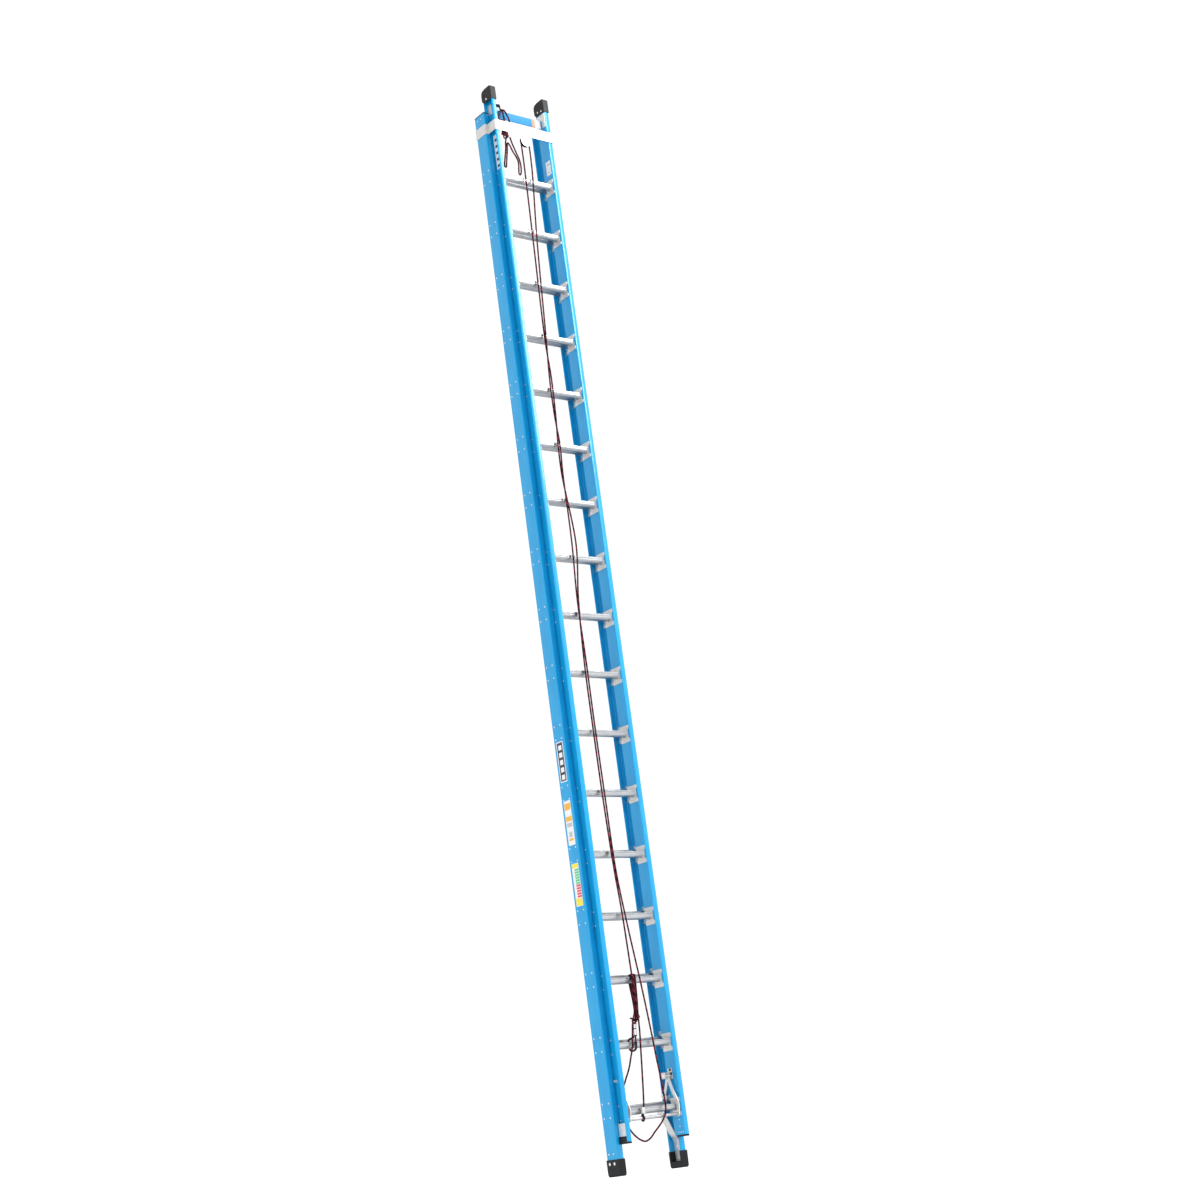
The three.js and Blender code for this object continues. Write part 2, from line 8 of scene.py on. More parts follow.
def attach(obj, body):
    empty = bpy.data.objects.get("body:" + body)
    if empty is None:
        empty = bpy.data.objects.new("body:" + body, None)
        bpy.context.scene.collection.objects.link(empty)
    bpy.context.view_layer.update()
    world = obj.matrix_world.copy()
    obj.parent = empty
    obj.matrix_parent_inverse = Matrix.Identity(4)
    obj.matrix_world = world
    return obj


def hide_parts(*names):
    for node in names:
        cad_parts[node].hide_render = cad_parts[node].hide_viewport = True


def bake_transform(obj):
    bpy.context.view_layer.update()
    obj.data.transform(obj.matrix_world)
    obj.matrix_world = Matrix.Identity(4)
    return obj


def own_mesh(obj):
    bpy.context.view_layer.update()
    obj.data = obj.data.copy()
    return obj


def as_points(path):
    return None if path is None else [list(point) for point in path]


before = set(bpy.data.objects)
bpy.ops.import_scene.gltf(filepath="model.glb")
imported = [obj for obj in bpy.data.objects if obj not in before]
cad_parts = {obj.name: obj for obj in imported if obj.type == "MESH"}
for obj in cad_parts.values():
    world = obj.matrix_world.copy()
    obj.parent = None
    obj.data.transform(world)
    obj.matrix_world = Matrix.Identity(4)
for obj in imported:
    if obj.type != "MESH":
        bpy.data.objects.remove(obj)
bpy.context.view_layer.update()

# ---- sizes, in millimetres unless a name says otherwise ---------------------
MM = 0.001
SIDES = ((-1, "left"), (1, "right"))

RUNG_PITCH = 305
RUNG_COUNT = 17
BASE_RUNG_Z = 300
FLY_RUNG_Z = 281

BASE_FRONT_Y, BASE_REAR_Y = -9.6, 76.8
BASE_WEB_X, BASE_FLANGE = 207, 34
BASE_BOTTOM_Z, BASE_TOP_Z = 30, 5549
BASE_MID_Y = (BASE_FRONT_Y + BASE_REAR_Y) / 2

FLY_FRONT_Y, FLY_REAR_Y = -73.5, 4.5
FLY_WEB_X, FLY_FLANGE = 161.5, 27.1
FLY_BOTTOM_Z, FLY_TOP_Z = 150, 5636
FLY_MID_Y = (FLY_FRONT_Y + FLY_REAR_Y) / 2

BRACE_Y = 42
WALL = 4.5
PLATE_THICK = 2.5
GAP = 0.3                           # clearance between parts that lie on each other
PULLEY_MM = (5, -66, 5391)          # middle of the sheave
ROPE_M = 0.008                      # rope diameter, in metres
ROPE_STEP_M = 0.004                 # length of rope between two rings of its tube


def put(name, data):
    """A new object of the scene, with this data."""
    obj = bpy.data.objects.new(name, data)
    bpy.context.scene.collection.objects.link(obj)
    return obj


# ---- camera -----------------------------------------------------------------
CAMERA_PLACE = Vector((-6.1403, -7.6598, 0.0882))
CAMERA_TURN = (-39.3805, -15.4617, -7.7717)     # azimuth, elevation and roll, in degrees
CAMERA_LENS, SENSOR_WIDTH = 60.102, 36


def make_camera():
    """A standing view from the front left, low down and a little tilted."""
    azimuth, elevation, roll = (math.radians(a) for a in CAMERA_TURN)
    back = Vector((math.sin(azimuth) * math.cos(elevation),
                   -math.cos(azimuth) * math.cos(elevation), math.sin(elevation)))
    level = (-back).cross(Vector((0, 0, 1))).normalized()
    above = level.cross(-back)
    right = level * math.cos(roll) + above * math.sin(roll)
    up = above * math.cos(roll) - level * math.sin(roll)
    data = bpy.data.cameras.new("camera")
    data.sensor_width = SENSOR_WIDTH
    data.lens = CAMERA_LENS
    camera = put("camera", data)
    turn = Matrix((right, up, back)).transposed().to_4x4()
    camera.matrix_world = Matrix.Translation(CAMERA_PLACE) @ turn
    bpy.context.scene.camera = camera


make_camera()


# ---- node graphs ------------------------------------------------------------
def rgba(colour):
    """A colour or a grey level, with full alpha."""
    return (*colour, 1) if hasattr(colour, "__len__") else (colour, colour, colour, 1)


def scaled(colour, share):
    return tuple(share * c for c in colour)


class Graph:
    """A material and short ways to add nodes to it."""

    def __init__(self, name):
        self.material = bpy.data.materials.new(name)
        self.material.use_nodes = True
        self.tree = self.material.node_tree
        self.tree.nodes.clear()
        self.shader = self.add("ShaderNodeBsdfPrincipled")
        output = self.add("ShaderNodeOutputMaterial")
        self.tree.links.new(self.shader.outputs[0], output.inputs["Surface"])

    def add(self, kind, inputs=None, **props):
        made = self.tree.nodes.new(kind)
        for key, value in props.items():
            setattr(made, key, value)
        for key, value in (inputs or {}).items():
            self.set(made, key, value)
        return made

    def set(self, made, key, value):
        if isinstance(value, bpy.types.NodeSocket):
            self.tree.links.new(value, made.inputs[key])
        else:
            made.inputs[key].default_value = value

    def place(self, scale=(1, 1, 1), source="Object"):
        """Coordinates on the piece, in metres, stretched by scale."""
        where = self.add("ShaderNodeTexCoord").outputs[source]
        return self.add("ShaderNodeMapping", {"Vector": where, "Scale": scale}).outputs[0]

    def noise(self, where, scale, detail, rough):
        return self.add("ShaderNodeTexNoise", {
            "Vector": where, "Scale": scale, "Detail": detail, "Roughness": rough}).outputs["Fac"]

    def ramp(self, value, stops):
        made = self.add("ShaderNodeValToRGB", {"Fac": value})
        ends = made.color_ramp.elements
        while len(ends) < len(stops):
            ends.new(0.5)
        for end, (at, colour) in zip(ends, stops):
            end.position = at
            end.color = rgba(colour)
        return made.outputs["Color"]

    def band(self, value, start, end):
        """A mask that is 0 below start and 1 above end."""
        return self.ramp(value, [(start, 0.0), (end, 1.0)])

    def range(self, value, low, high):
        return self.add("ShaderNodeMapRange", {0: value, 3: low, 4: high}).outputs[0]

    def mix(self, factor, a, b):
        made = self.add("ShaderNodeMix", {0: factor}, data_type="RGBA")
        for key, value in ((6, a), (7, b)):
            self.set(made, key, rgba(value) if isinstance(value, tuple) else value)
        return made.outputs[2]

    def tinted(self, mask, share, below, above):
        """Colour below, with some of the colour above where the mask is on."""
        return self.mix(self.math("MULTIPLY", mask, share), below, above)

    def math(self, operation, a, b=0.0):
        return self.add("ShaderNodeMath", {0: a, 1: b}, operation=operation).outputs[0]

    def bump(self, height, strength, distance, under=None):
        inputs = {"Height": height, "Strength": strength, "Distance": distance}
        if under is not None:
            inputs["Normal"] = under
        return self.add("ShaderNodeBump", inputs).outputs[0]

    def done(self, colour, rough, normal=None, **fixed):
        self.set(self.shader, "Base Color", colour)
        self.set(self.shader, "Roughness", rough)
        if normal is not None:
            self.set(self.shader, "Normal", normal)
        for key, value in fixed.items():
            self.set(self.shader, key.replace("_", " "), value)
        return self.material


def fibreglass():
    """Pultruded glass fibre: long rovings along the rail under a glossy veil, with faint scuffs."""
    g = Graph("fibreglass")
    along = g.place((1, 1, 0.02))
    roving = g.noise(along, 420, 4, 0.6)
    veil = g.noise(g.place(), 900, 2, 0.5)
    patch = g.noise(g.place((1, 1, 0.35)), 14, 4, 0.6)
    tint = g.ramp(g.mix(0.35, roving, patch), [
        (0.30, (0.001, 0.262, 0.550)),
        (0.52, (0.003, 0.322, 0.650)),
        (0.75, (0.010, 0.395, 0.740)),
    ])
    tint = g.tinted(g.band(veil, 0.60, 0.74), 0.16, tint, (0.13, 0.56, 0.86))
    scuff = g.band(g.noise(g.place((1, 1, 0.06)), 90, 5, 0.7), 0.66, 0.78)
    tint = g.tinted(scuff, 0.22, tint, (0.30, 0.52, 0.72))
    rough = g.range(g.mix(0.5, patch, scuff), 0.26, 0.52)
    normal = g.bump(roving, 0.22, 0.0006, g.bump(veil, 0.12, 0.0003))
    return g.done(tint, rough, normal, Coat_Weight=0.30, Coat_Roughness=0.08, IOR=1.45)


def metal(name, low, high, along, scale, rough, metallic, painted_underside_shade):
    """Aluminium or steel: fine lines, dull patches, small dents, and painted shade on its
    undersides.
    """
    g = Graph(name)
    lines = g.noise(g.place(along), scale, 5, 0.65)
    cloud = g.noise(g.place(), 32, 4, 0.6)
    dents = g.noise(g.place(), 170, 2, 0.5)
    tone = g.ramp(g.mix(0.45, lines, cloud), [(0.28, low), (0.75, high)])
    smear = g.band(g.noise(g.place(), 75, 5, 0.7), 0.60, 0.80)
    tone = g.tinted(smear, 0.3, tone, scaled(low, 0.55))
    # painted shade: faces that point downwards are made darker by this share
    if painted_underside_shade:
        facing = g.add("ShaderNodeNewGeometry").outputs["Normal"]
        upward = g.add("ShaderNodeSeparateXYZ", {"Vector": facing}).outputs[2]
        under = g.band(g.math("MULTIPLY", upward, -1), 0.0, 0.75)
        tone = g.tinted(under, painted_underside_shade, tone, scaled(low, 0.35))
    normal = g.bump(lines, 0.18, 0.0004, g.bump(dents, 0.1, 0.0006))
    shine = g.range(g.mix(0.5, lines, cloud), rough - 0.1, rough + 0.14)
    return g.done(tone, shine, normal, Metallic=metallic)


def black(name, colour, rough, grain):
    """Moulded rubber or plastic: fine grain, greyer where it is rubbed."""
    g = Graph(name)
    fine = g.noise(g.place(), grain, 3, 0.6)
    rubbed = g.band(g.noise(g.place(), 38, 5, 0.65), 0.50, 0.72)
    tone = g.tinted(rubbed, 0.4, colour, scaled(colour, 3.0))
    shine = g.range(g.mix(0.5, fine, rubbed), rough - 0.08, rough + 0.12)
    return g.done(tone, shine, g.bump(fine, 0.3, 0.0005), Specular_IOR_Level=0.3)


def braid():
    """Braided cord: maroon strands crossed by black ones, from the tube's own length and girth."""
    lay, strand_length, strands = 0.040, 0.007, 8
    g = Graph("braid")
    split = g.add("ShaderNodeSeparateXYZ", {"Vector": g.place(source="UV")})
    length, girth = split.outputs[0], split.outputs[1]
    turn = g.math("MULTIPLY", length, 1 / lay)
    lead = g.math("FRACT", g.math("ADD", girth, turn))
    counter = g.math("FRACT", g.math("SUBTRACT", girth, turn))
    black_band = g.ramp(lead, [(0.0, 1.0), (0.44, 1.0), (0.50, 0.0), (0.94, 0.0)])
    thin_band = g.ramp(counter, [(0.0, 1.0), (0.14, 1.0), (0.18, 0.0), (0.96, 0.0)])
    strand = g.math("MULTIPLY", length, 2 * math.pi / strand_length)
    around = g.math("MULTIPLY", girth, 2 * math.pi * strands)
    rise = g.math("SINE", g.math("ADD", strand, around))
    fall = g.math("SINE", g.math("SUBTRACT", strand, around))
    weave = g.math("MULTIPLY", rise, fall)
    fuzz = g.noise(g.place(), 1800, 3, 0.7)
    red = g.ramp(g.noise(g.place(), 500, 3, 0.6), [
        (0.3, (0.125, 0.010, 0.022)), (0.75, (0.250, 0.030, 0.052))])
    tone = g.mix(g.math("MAXIMUM", black_band, g.math("MULTIPLY", thin_band, 0.7)), red,
                 (0.010, 0.004, 0.006))
    tone = g.mix(g.range(weave, 0.0, 0.35), tone, (0.006, 0.002, 0.003))
    normal = g.bump(weave, 0.7, 0.0009, g.bump(fuzz, 0.3, 0.0003))
    return g.done(tone, g.range(fuzz, 0.72, 0.95), normal, Specular_IOR_Level=0.15)


def webbing():
    """Woven nylon belt, blue with an orange and a white stripe across it near one end."""
    g = Graph("webbing")
    rib, pick = 0.0026, 0.0019
    orange_start, white_start, stripes_end = 0.092, 0.112, 0.150
    where = g.add("ShaderNodeSeparateXYZ", {"Vector": g.place()})
    along, up = where.outputs[0], where.outputs[2]
    ribs = g.math("SINE", g.math("MULTIPLY", up, 2 * math.pi / rib))
    picks = g.math("SINE", g.math("MULTIPLY", along, 2 * math.pi / pick))
    weave = g.math("MULTIPLY", ribs, picks)
    tone = g.ramp(g.noise(g.place(), 240, 4, 0.6), [
        (0.3, (0.020, 0.255, 0.560)), (0.75, (0.060, 0.390, 0.740))])
    start = g.math("GREATER_THAN", along, orange_start)
    middle = g.math("GREATER_THAN", along, white_start)
    end = g.math("LESS_THAN", along, stripes_end)
    tone = g.tinted(start, end, tone, (0.80, 0.36, 0.22))
    tone = g.tinted(middle, end, tone, (0.78, 0.77, 0.76))
    tone = g.mix(g.range(weave, 0.22, 0.0), tone, (0.006, 0.03, 0.10))
    return g.done(tone, 0.78, g.bump(weave, 0.6, 0.0005), Sheen_Weight=0.2, Sheen_Roughness=0.4)


def film(name, colour):
    """Printed vinyl: a flat ink with the faint mottle and scratches of a used sticker."""
    g = Graph(name)
    mottle = g.noise(g.place(), 160, 4, 0.6)
    scratch = g.band(g.noise(g.place((1, 6, 0.6)), 220, 5, 0.7), 0.64, 0.78)
    tone = g.mix(g.range(mottle, 0.0, 0.18), colour, scaled(colour, 0.6))
    tone = g.tinted(scratch, 0.25, tone, (0.55, 0.60, 0.66))
    return g.done(tone, g.range(mottle, 0.28, 0.46), g.bump(mottle, 0.08, 0.0002))


FIBREGLASS = fibreglass()
EXTRUDED = metal("extruded_aluminium", (0.46, 0.475, 0.49), (0.72, 0.73, 0.74),
                 along=(0.03, 1, 1), scale=260, rough=0.34, metallic=1.0, painted_underside_shade=0.55)
SHEET = metal("sheet_aluminium", (0.60, 0.595, 0.58), (0.82, 0.81, 0.79),
              along=(1, 1, 1), scale=120, rough=0.44, metallic=0.75, painted_underside_shade=0.25)
STEEL = metal("zinc_steel", (0.66, 0.67, 0.68), (0.86, 0.86, 0.86),
              along=(1, 1, 1), scale=150, rough=0.28, metallic=0.95, painted_underside_shade=0)
RUBBER = black("rubber", (0.0040, 0.0045, 0.0055), rough=0.50, grain=900)
PLASTIC = black("black_plastic", (0.0038, 0.0042, 0.0048), rough=0.42, grain=1500)
BRAID = braid()
WEBBING = webbing()
SHEET_METALS = [SHEET, STEEL]


# ---- shapes -----------------------------------------------------------------
PLACES = {
    "x": lambda u, v, t: (t, u, v),
    "y": lambda u, v, t: (u, t, v),
    "z": lambda u, v, t: (u, v, t),
}


class Shape:
    """Faces gathered in millimetres, then made into one object in metres."""

    def __init__(self):
        self.verts = []
        self.faces = []
        self.slots = []

    def add(self, verts, faces, slot=0):
        first = len(self.verts)
        self.verts += [tuple(v) for v in verts]
        self.faces += [tuple(first + i for i in face) for face in faces]
        self.slots += [slot] * len(faces)
        return self

    def loft(self, rings, slot=0, capped=True):
        n = len(rings[0])
        faces = [(k * n + i, k * n + (i + 1) % n, (k + 1) * n + (i + 1) % n, (k + 1) * n + i)
                 for k in range(len(rings) - 1) for i in range(n)]
        if capped:
            last = (len(rings) - 1) * n
            faces += [tuple(reversed(range(n))), tuple(last + i for i in range(n))]
        return self.add([p for ring in rings for p in ring], faces, slot)

    def prism(self, outline, axis, a, b, slot=0, steps=1):
        place = PLACES[axis]
        stations = [a + (b - a) * i / steps for i in range(steps + 1)]
        return self.loft([[place(u, v, t) for u, v in outline] for t in stations], slot)

    def revolve(self, profile, centre, axis, segments=24, slot=0, closed=False):
        """A profile of (radius, distance) turned about a line; its open ends become flat discs."""
        way = Vector(axis).normalized()
        side = way.orthogonal().normalized()
        other = way.cross(side)
        rings = []
        for radius, along in profile + (profile[:1] if closed else []):
            ring = []
            for i in range(segments):
                angle = 2 * math.pi * i / segments
                arm = side * math.cos(angle) + other * math.sin(angle)
                ring.append(Vector(centre) + way * along + arm * radius)
            rings.append(ring)
        return self.loft(rings, slot, not closed)

    def rivet(self, centre, axis, radius=4.2, height=1.9, slot=0):
        """A low domed head standing on a surface."""
        profile = [(radius, -0.6), (radius, 0.15 * height), (radius * 0.93, 0.45 * height),
                   (radius * 0.72, 0.8 * height), (radius * 0.4, 0.96 * height),
                   (radius * 0.1, height)]
        return self.revolve(profile, centre, axis, 14, slot)

    def bolt(self, centre, axis, radius, height, slot):
        """A six-sided head on a washer, with a chamfered top."""
        washer = [(radius * 1.45, 0), (radius * 1.45, 1.0), (radius * 1.38, 1.3)]
        head = [(radius, 1.2), (radius, height - 0.6), (radius * 0.88, height)]
        self.revolve(washer, centre, axis, 24, slot)
        self.revolve(head, centre, axis, 6, slot)

    def make(self, name, materials, body=None, slot=None, replaced=(), bevel=0.0, sharp=38):
        mesh = bpy.data.meshes.new(name)
        mesh.from_pydata([[c * MM for c in v] for v in self.verts], [], self.faces)
        mesh.polygons.foreach_set("material_index", self.slots)
        for material in materials:
            mesh.materials.append(material)
        obj = put(name, mesh)
        clean(obj)
        finish_edges(obj, bevel, sharp)
        if body:
            settle(obj, body, replaced)
        return obj


def clean(obj):
    """Welds the vertices that lie on each other and turns the faces outwards."""
    weld = 2e-6
    bm = bmesh.new()
    bm.from_mesh(obj.data)
    bmesh.ops.remove_doubles(bm, verts=bm.verts, dist=weld)
    bmesh.ops.recalc_face_normals(bm, faces=bm.faces)
    bm.to_mesh(obj.data)
    bm.free()


def finish_edges(obj, bevel, sharp, segments=2):
    """Rounds the hard edges by bevel millimetres and shades the rest smooth."""
    if bevel:
        bm = bmesh.new()
        bm.from_mesh(obj.data)
        limit = math.radians(sharp)
        hard = [e for e in bm.edges if e.is_manifold and e.calc_face_angle(0) > limit]
        bmesh.ops.bevel(bm, geom=hard, offset=bevel * MM, segments=segments, profile=0.5,
                        affect="EDGES", clamp_overlap=True)
        bm.to_mesh(obj.data)
        bm.free()
    shade(obj)
    if bevel:
        obj.modifiers.new("weighted", "WEIGHTED_NORMAL").keep_sharp = True


def shade(obj):
    """Smooth shading that stops at every edge sharper than 50 degrees."""
    obj.data.polygons.foreach_set("use_smooth", [True] * len(obj.data.polygons))
    obj.data.set_sharp_from_angle(angle=math.radians(50))


def settle(obj, body, replaced=()):
    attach(obj, body)
    if replaced:
        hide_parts(*replaced)


def carve(obj, tools, operation="DIFFERENCE"):
    """Cuts the tools from obj, or joins them to it, and removes them."""
    for tool in tools:
        change = obj.modifiers.new("change", "BOOLEAN")
        change.operation = operation
        change.solver = "EXACT"
        change.object = tool
    graph = bpy.context.evaluated_depsgraph_get()
    made = bpy.data.meshes.new_from_object(obj.evaluated_get(graph))
    obj.modifiers.clear()
    obj.data = made
    for tool in tools:
        bpy.data.objects.remove(tool)
    clean(obj)


def arc(cx, cy, radius, start, end, steps=6):
    """Points of an arc from one angle to another, in degrees."""
    angles = [math.radians(start + (end - start) * i / steps) for i in range(steps + 1)]
    return [(cx + radius * math.cos(a), cy + radius * math.sin(a)) for a in angles]


def rounded(outline, radius, steps=4):
    """A closed outline with each corner turned into an arc."""
    almost_straight, most = math.radians(86), 0.48
    out = []
    n = len(outline)
    radii = radius if hasattr(radius, "__len__") else [radius] * n
    for i, wanted in enumerate(radii):
        corner, before, after = (Vector(outline[k % n]) for k in (i, i - 1, i + 1))
        to_before, to_after = before - corner, after - corner
        half = to_before.angle(to_after) / 2
        if half > almost_straight:
            out.append(tuple(corner))
            continue
        reach = min(wanted / math.tan(half), most * to_before.length, most * to_after.length)
        first = corner + to_before.normalized() * reach
        last = corner + to_after.normalized() * reach
        inward = (to_before.normalized() + to_after.normalized()).normalized()
        middle = corner + inward * (reach / math.cos(half))
        for k in range(steps + 1):
            arm = (first - middle).lerp(last - middle, k / steps).normalized()
            out.append(tuple(middle + arm * (first - middle).length))
    return out


def box_outline(a0, a1, b0, b1):
    """A rectangle from a0 to a1 one way and from b0 to b1 the other way."""
    return [(a0, b0), (a1, b0), (a1, b1), (a0, b1)]


def ribbon(points, thickness, steps=40):
    """Outline of a bar of even thickness along a smooth line."""
    line = spaced(smooth_line([Vector((a, b, 0)) for a, b in points]), steps)
    left, right = [], []
    for i, at in enumerate(line):
        way = (line[min(i + 1, len(line) - 1)] - line[max(i - 1, 0)]).normalized() * thickness / 2
        left.append((at.x - way.y, at.y + way.x))
        right.append((at.x + way.y, at.y - way.x))
    return left + right[::-1]


def smooth_line(points):
    """A centripetal Catmull-Rom curve through the points."""
    fine = 12
    ends = [points[0] * 2 - points[1], *points, points[-1] * 2 - points[-2]]
    line = []
    for k in range(1, len(ends) - 2):
        p0, p1, p2, p3 = ends[k - 1:k + 3]
        t1 = (p1 - p0).length ** 0.5
        t2 = t1 + (p2 - p1).length ** 0.5
        t3 = t2 + (p3 - p2).length ** 0.5
        for i in range(fine):
            t = t1 + (t2 - t1) * i / fine
            a1 = p0.lerp(p1, t / t1)
            a2 = p1.lerp(p2, (t - t1) / (t2 - t1))
            a3 = p2.lerp(p3, (t - t2) / (t3 - t2))
            b1 = a1.lerp(a2, t / t2)
            b2 = a2.lerp(a3, (t - t1) / (t3 - t1))
            line.append(b1.lerp(b2, (t - t1) / (t2 - t1)))
    return line + [points[-1].copy()]


def spaced(line, count):
    """The line cut into count even steps."""
    far = [0.0]
    for a, b in zip(line, line[1:]):
        far.append(far[-1] + (b - a).length)
    out, k = [], 0
    for i in range(count + 1):
        want = far[-1] * i / count
        while k < len(far) - 2 and far[k + 1] < want:
            k += 1
        gap = far[k + 1] - far[k]
        out.append(line[k].lerp(line[k + 1], (want - far[k]) / gap if gap else 0))
    return out


def total(line):
    return sum((b - a).length for a, b in zip(line, line[1:]))


# ---- ropes ------------------------------------------------------------------
def tube(name, line, radius, material, sides=12, swell=0.04, closed=False):
    """A cord along the line, in metres, its strands standing a little proud of each other."""
    lobes, lay = 3, 0.018
    verts, faces, texture = [], [], []
    way = (line[1] - line[0]).normalized()
    normal = way.orthogonal().normalized()
    run = 0.0
    runs = []
    count = len(line)
    for k, at in enumerate(line):
        ahead = line[(k + 1) % count] if closed else line[min(k + 1, count - 1)]
        behind = line[k - 1] if closed else line[max(k - 1, 0)]
        way = (ahead - behind).normalized()
        normal = (normal - way * normal.dot(way)).normalized()
        other = way.cross(normal)
        run += (at - line[k - 1]).length if k else 0.0
        runs.append(run)
        for j in range(sides):
            angle = 2 * math.pi * j / sides
            wave = (math.cos(lobes * angle + 2 * math.pi * run / lay)
                    + math.cos(lobes * angle - 2 * math.pi * run / lay)) / 2
            size = radius * (1 + swell * wave)
            verts.append(at + (normal * math.cos(angle) + other * math.sin(angle)) * size)
    rings = count if closed else count - 1
    for k in range(rings):
        nxt = (k + 1) % count
        for j in range(sides):
            faces.append((k * sides + j, k * sides + (j + 1) % sides,
                          nxt * sides + (j + 1) % sides, nxt * sides + j))
            far = runs[nxt] if nxt else runs[k] + ROPE_STEP_M
            left, right = j / sides, (j + 1) / sides
            texture += [(runs[k], left), (runs[k], right), (far, right), (far, left)]
    if not closed:
        last = (count - 1) * sides
        faces += [tuple(reversed(range(sides))), tuple(last + j for j in range(sides))]
        texture += [(0.0, 0.0)] * (2 * sides)
    mesh = bpy.data.meshes.new(name)
    mesh.from_pydata(verts, [], faces)
    mesh.uv_layers.new(name="UVMap").data.foreach_set("uv", [c for uv in texture for c in uv])
    mesh.polygons.foreach_set("use_smooth", [True] * len(faces))
    mesh.materials.append(material)
    return put(name, mesh)


def rope(name, route):
    """A rope tube through given points, and the line that it follows, in metres."""
    fullness = 1.07
    line = smooth_line([Vector(p) for p in route])
    line = spaced(line, round(total(line) / ROPE_STEP_M))
    return tube(name, line, fullness * ROPE_M / 2, BRAID), line


def knot(name, centre, size, turn):
    """A three-lobed knot drawn tight, centred at a point in metres."""
    count, depth = 90, 1.3
    points = []
    for i in range(count):
        t = 2 * math.pi * i / count
        at = Vector((math.sin(t) + 2 * math.sin(2 * t), math.cos(t) - 2 * math.cos(2 * t),
                     -depth * math.sin(3 * t)))
        points.append(turn @ (at * size) + Vector(centre))
    obj = tube(name, points, ROPE_M / 2, BRAID, sides=10, closed=True)
    settle(obj, "fly")
    return obj


# Points on the ropes' routes, in metres. HANK_TURN holds only (y, z).
FALL_UP = [
    (-0.04, -0.07, 0.51), (-0.028, -0.0735, 0.69), (-0.034, -0.0735, 0.96),
    (-0.042, -0.0735, 1.23), (-0.0535, -0.073, 1.42), (-0.062, -0.07, 1.78), (-0.06, -0.063, 2.15),
    (-0.062, -0.0665, 2.48), (-0.05, -0.0715, 2.8), (-0.014, -0.0665, 3.1),
    (-0.042, -0.0615, 3.48), (-0.044, -0.0665, 3.64), (-0.038, -0.0715, 3.8),
    (-0.03, -0.0665, 4.01), (-0.034, -0.0615, 4.217), (-0.028, -0.066, 4.8),
    (-0.0205, -0.066, 5.25),
]
FALL_DOWN = [
    (0.03, -0.066, 5.25), (-0.002, -0.066, 4.8), (-0.034, -0.0715, 4.217), (-0.042, -0.0665, 4.01),
    (-0.038, -0.0615, 3.8), (-0.032, -0.0665, 3.64), (-0.042, -0.0715, 3.48),
    (-0.04, -0.0665, 3.1), (-0.05, -0.0615, 2.8), (-0.05, -0.0665, 2.48), (-0.054, -0.072, 2.15),
    (-0.05, -0.073, 1.78), (-0.044, -0.0735, 1.42), (-0.018, -0.0735, 1.15),
    (0.002, -0.0735, 0.984), (0.019, -0.0735, 0.844), (0.042, -0.072, 0.624), (0.053, -0.07, 0.51),
]
EYE = [
    (-0.04, -0.07, 0.51), (-0.056, -0.068, 0.34), (-0.062, -0.066, 0.292), (-0.063, -0.058, 0.272),
    (-0.065, -0.0485, 0.2565), (-0.066, -0.0446, 0.247), (-0.067, -0.0485, 0.2375),
    (-0.068, -0.058, 0.2336), (-0.069, -0.0675, 0.2375), (-0.07, -0.0714, 0.247),
    (-0.071, -0.0675, 0.2565), (-0.072, -0.069, 0.268), (-0.073, -0.066, 0.292),
]
BIGHT = [
    (0.053, -0.07, 0.5096), (0.058, -0.0705, 0.46), (0.066, -0.071, 0.346), (0.068, -0.071, 0.294),
    (0.062, -0.071, 0.258), (0.045, -0.071, 0.232), (0.018, -0.07, 0.205), (-0.015, -0.068, 0.178),
    (-0.045, -0.066, 0.152), (-0.072, -0.06, 0.141), (-0.1, -0.05, 0.155), (-0.122, -0.03, 0.19),
    (-0.132, -0.012, 0.235), (-0.135, -0.007, 0.3), (-0.134, -0.01, 0.37), (-0.122, -0.034, 0.43),
    (-0.11, -0.056, 0.48), (-0.094, -0.061, 0.53), (-0.078, -0.062, 0.575), (-0.068, -0.062, 0.63),
    (-0.056, -0.0615, 0.69),
]
HANK_TURN = [
    (-0.0615, 0.75), (-0.0615, 0.898), (-0.0575, 0.9125), (-0.046, 0.917), (-0.024, 0.917),
    (-0.0125, 0.9125), (-0.0085, 0.898), (-0.0095, 0.87), (-0.026, 0.822), (-0.04, 0.765),
    (-0.044, 0.728), (-0.054, 0.714),
]
END_EYE = [
    (-0.016, -0.06, 0.716), (-0.03, -0.0585, 0.697), (-0.042, -0.057, 0.684),
    (-0.046, -0.057, 0.66), (-0.048, -0.058, 0.628), (-0.05, -0.0595, 0.6),
    (-0.052, -0.0595, 0.578), (-0.053, -0.053, 0.565), (-0.054, -0.035, 0.56),
    (-0.055, -0.017, 0.565), (-0.056, -0.0095, 0.578), (-0.057, -0.0095, 0.6),
    (-0.058, -0.018, 0.614), (-0.059, -0.04, 0.618), (-0.06, -0.058, 0.622),
]
TIE_START = [
    (-0.141, -0.06, 5.583), (-0.134, -0.058, 5.589), (-0.126, -0.052, 5.586),
]
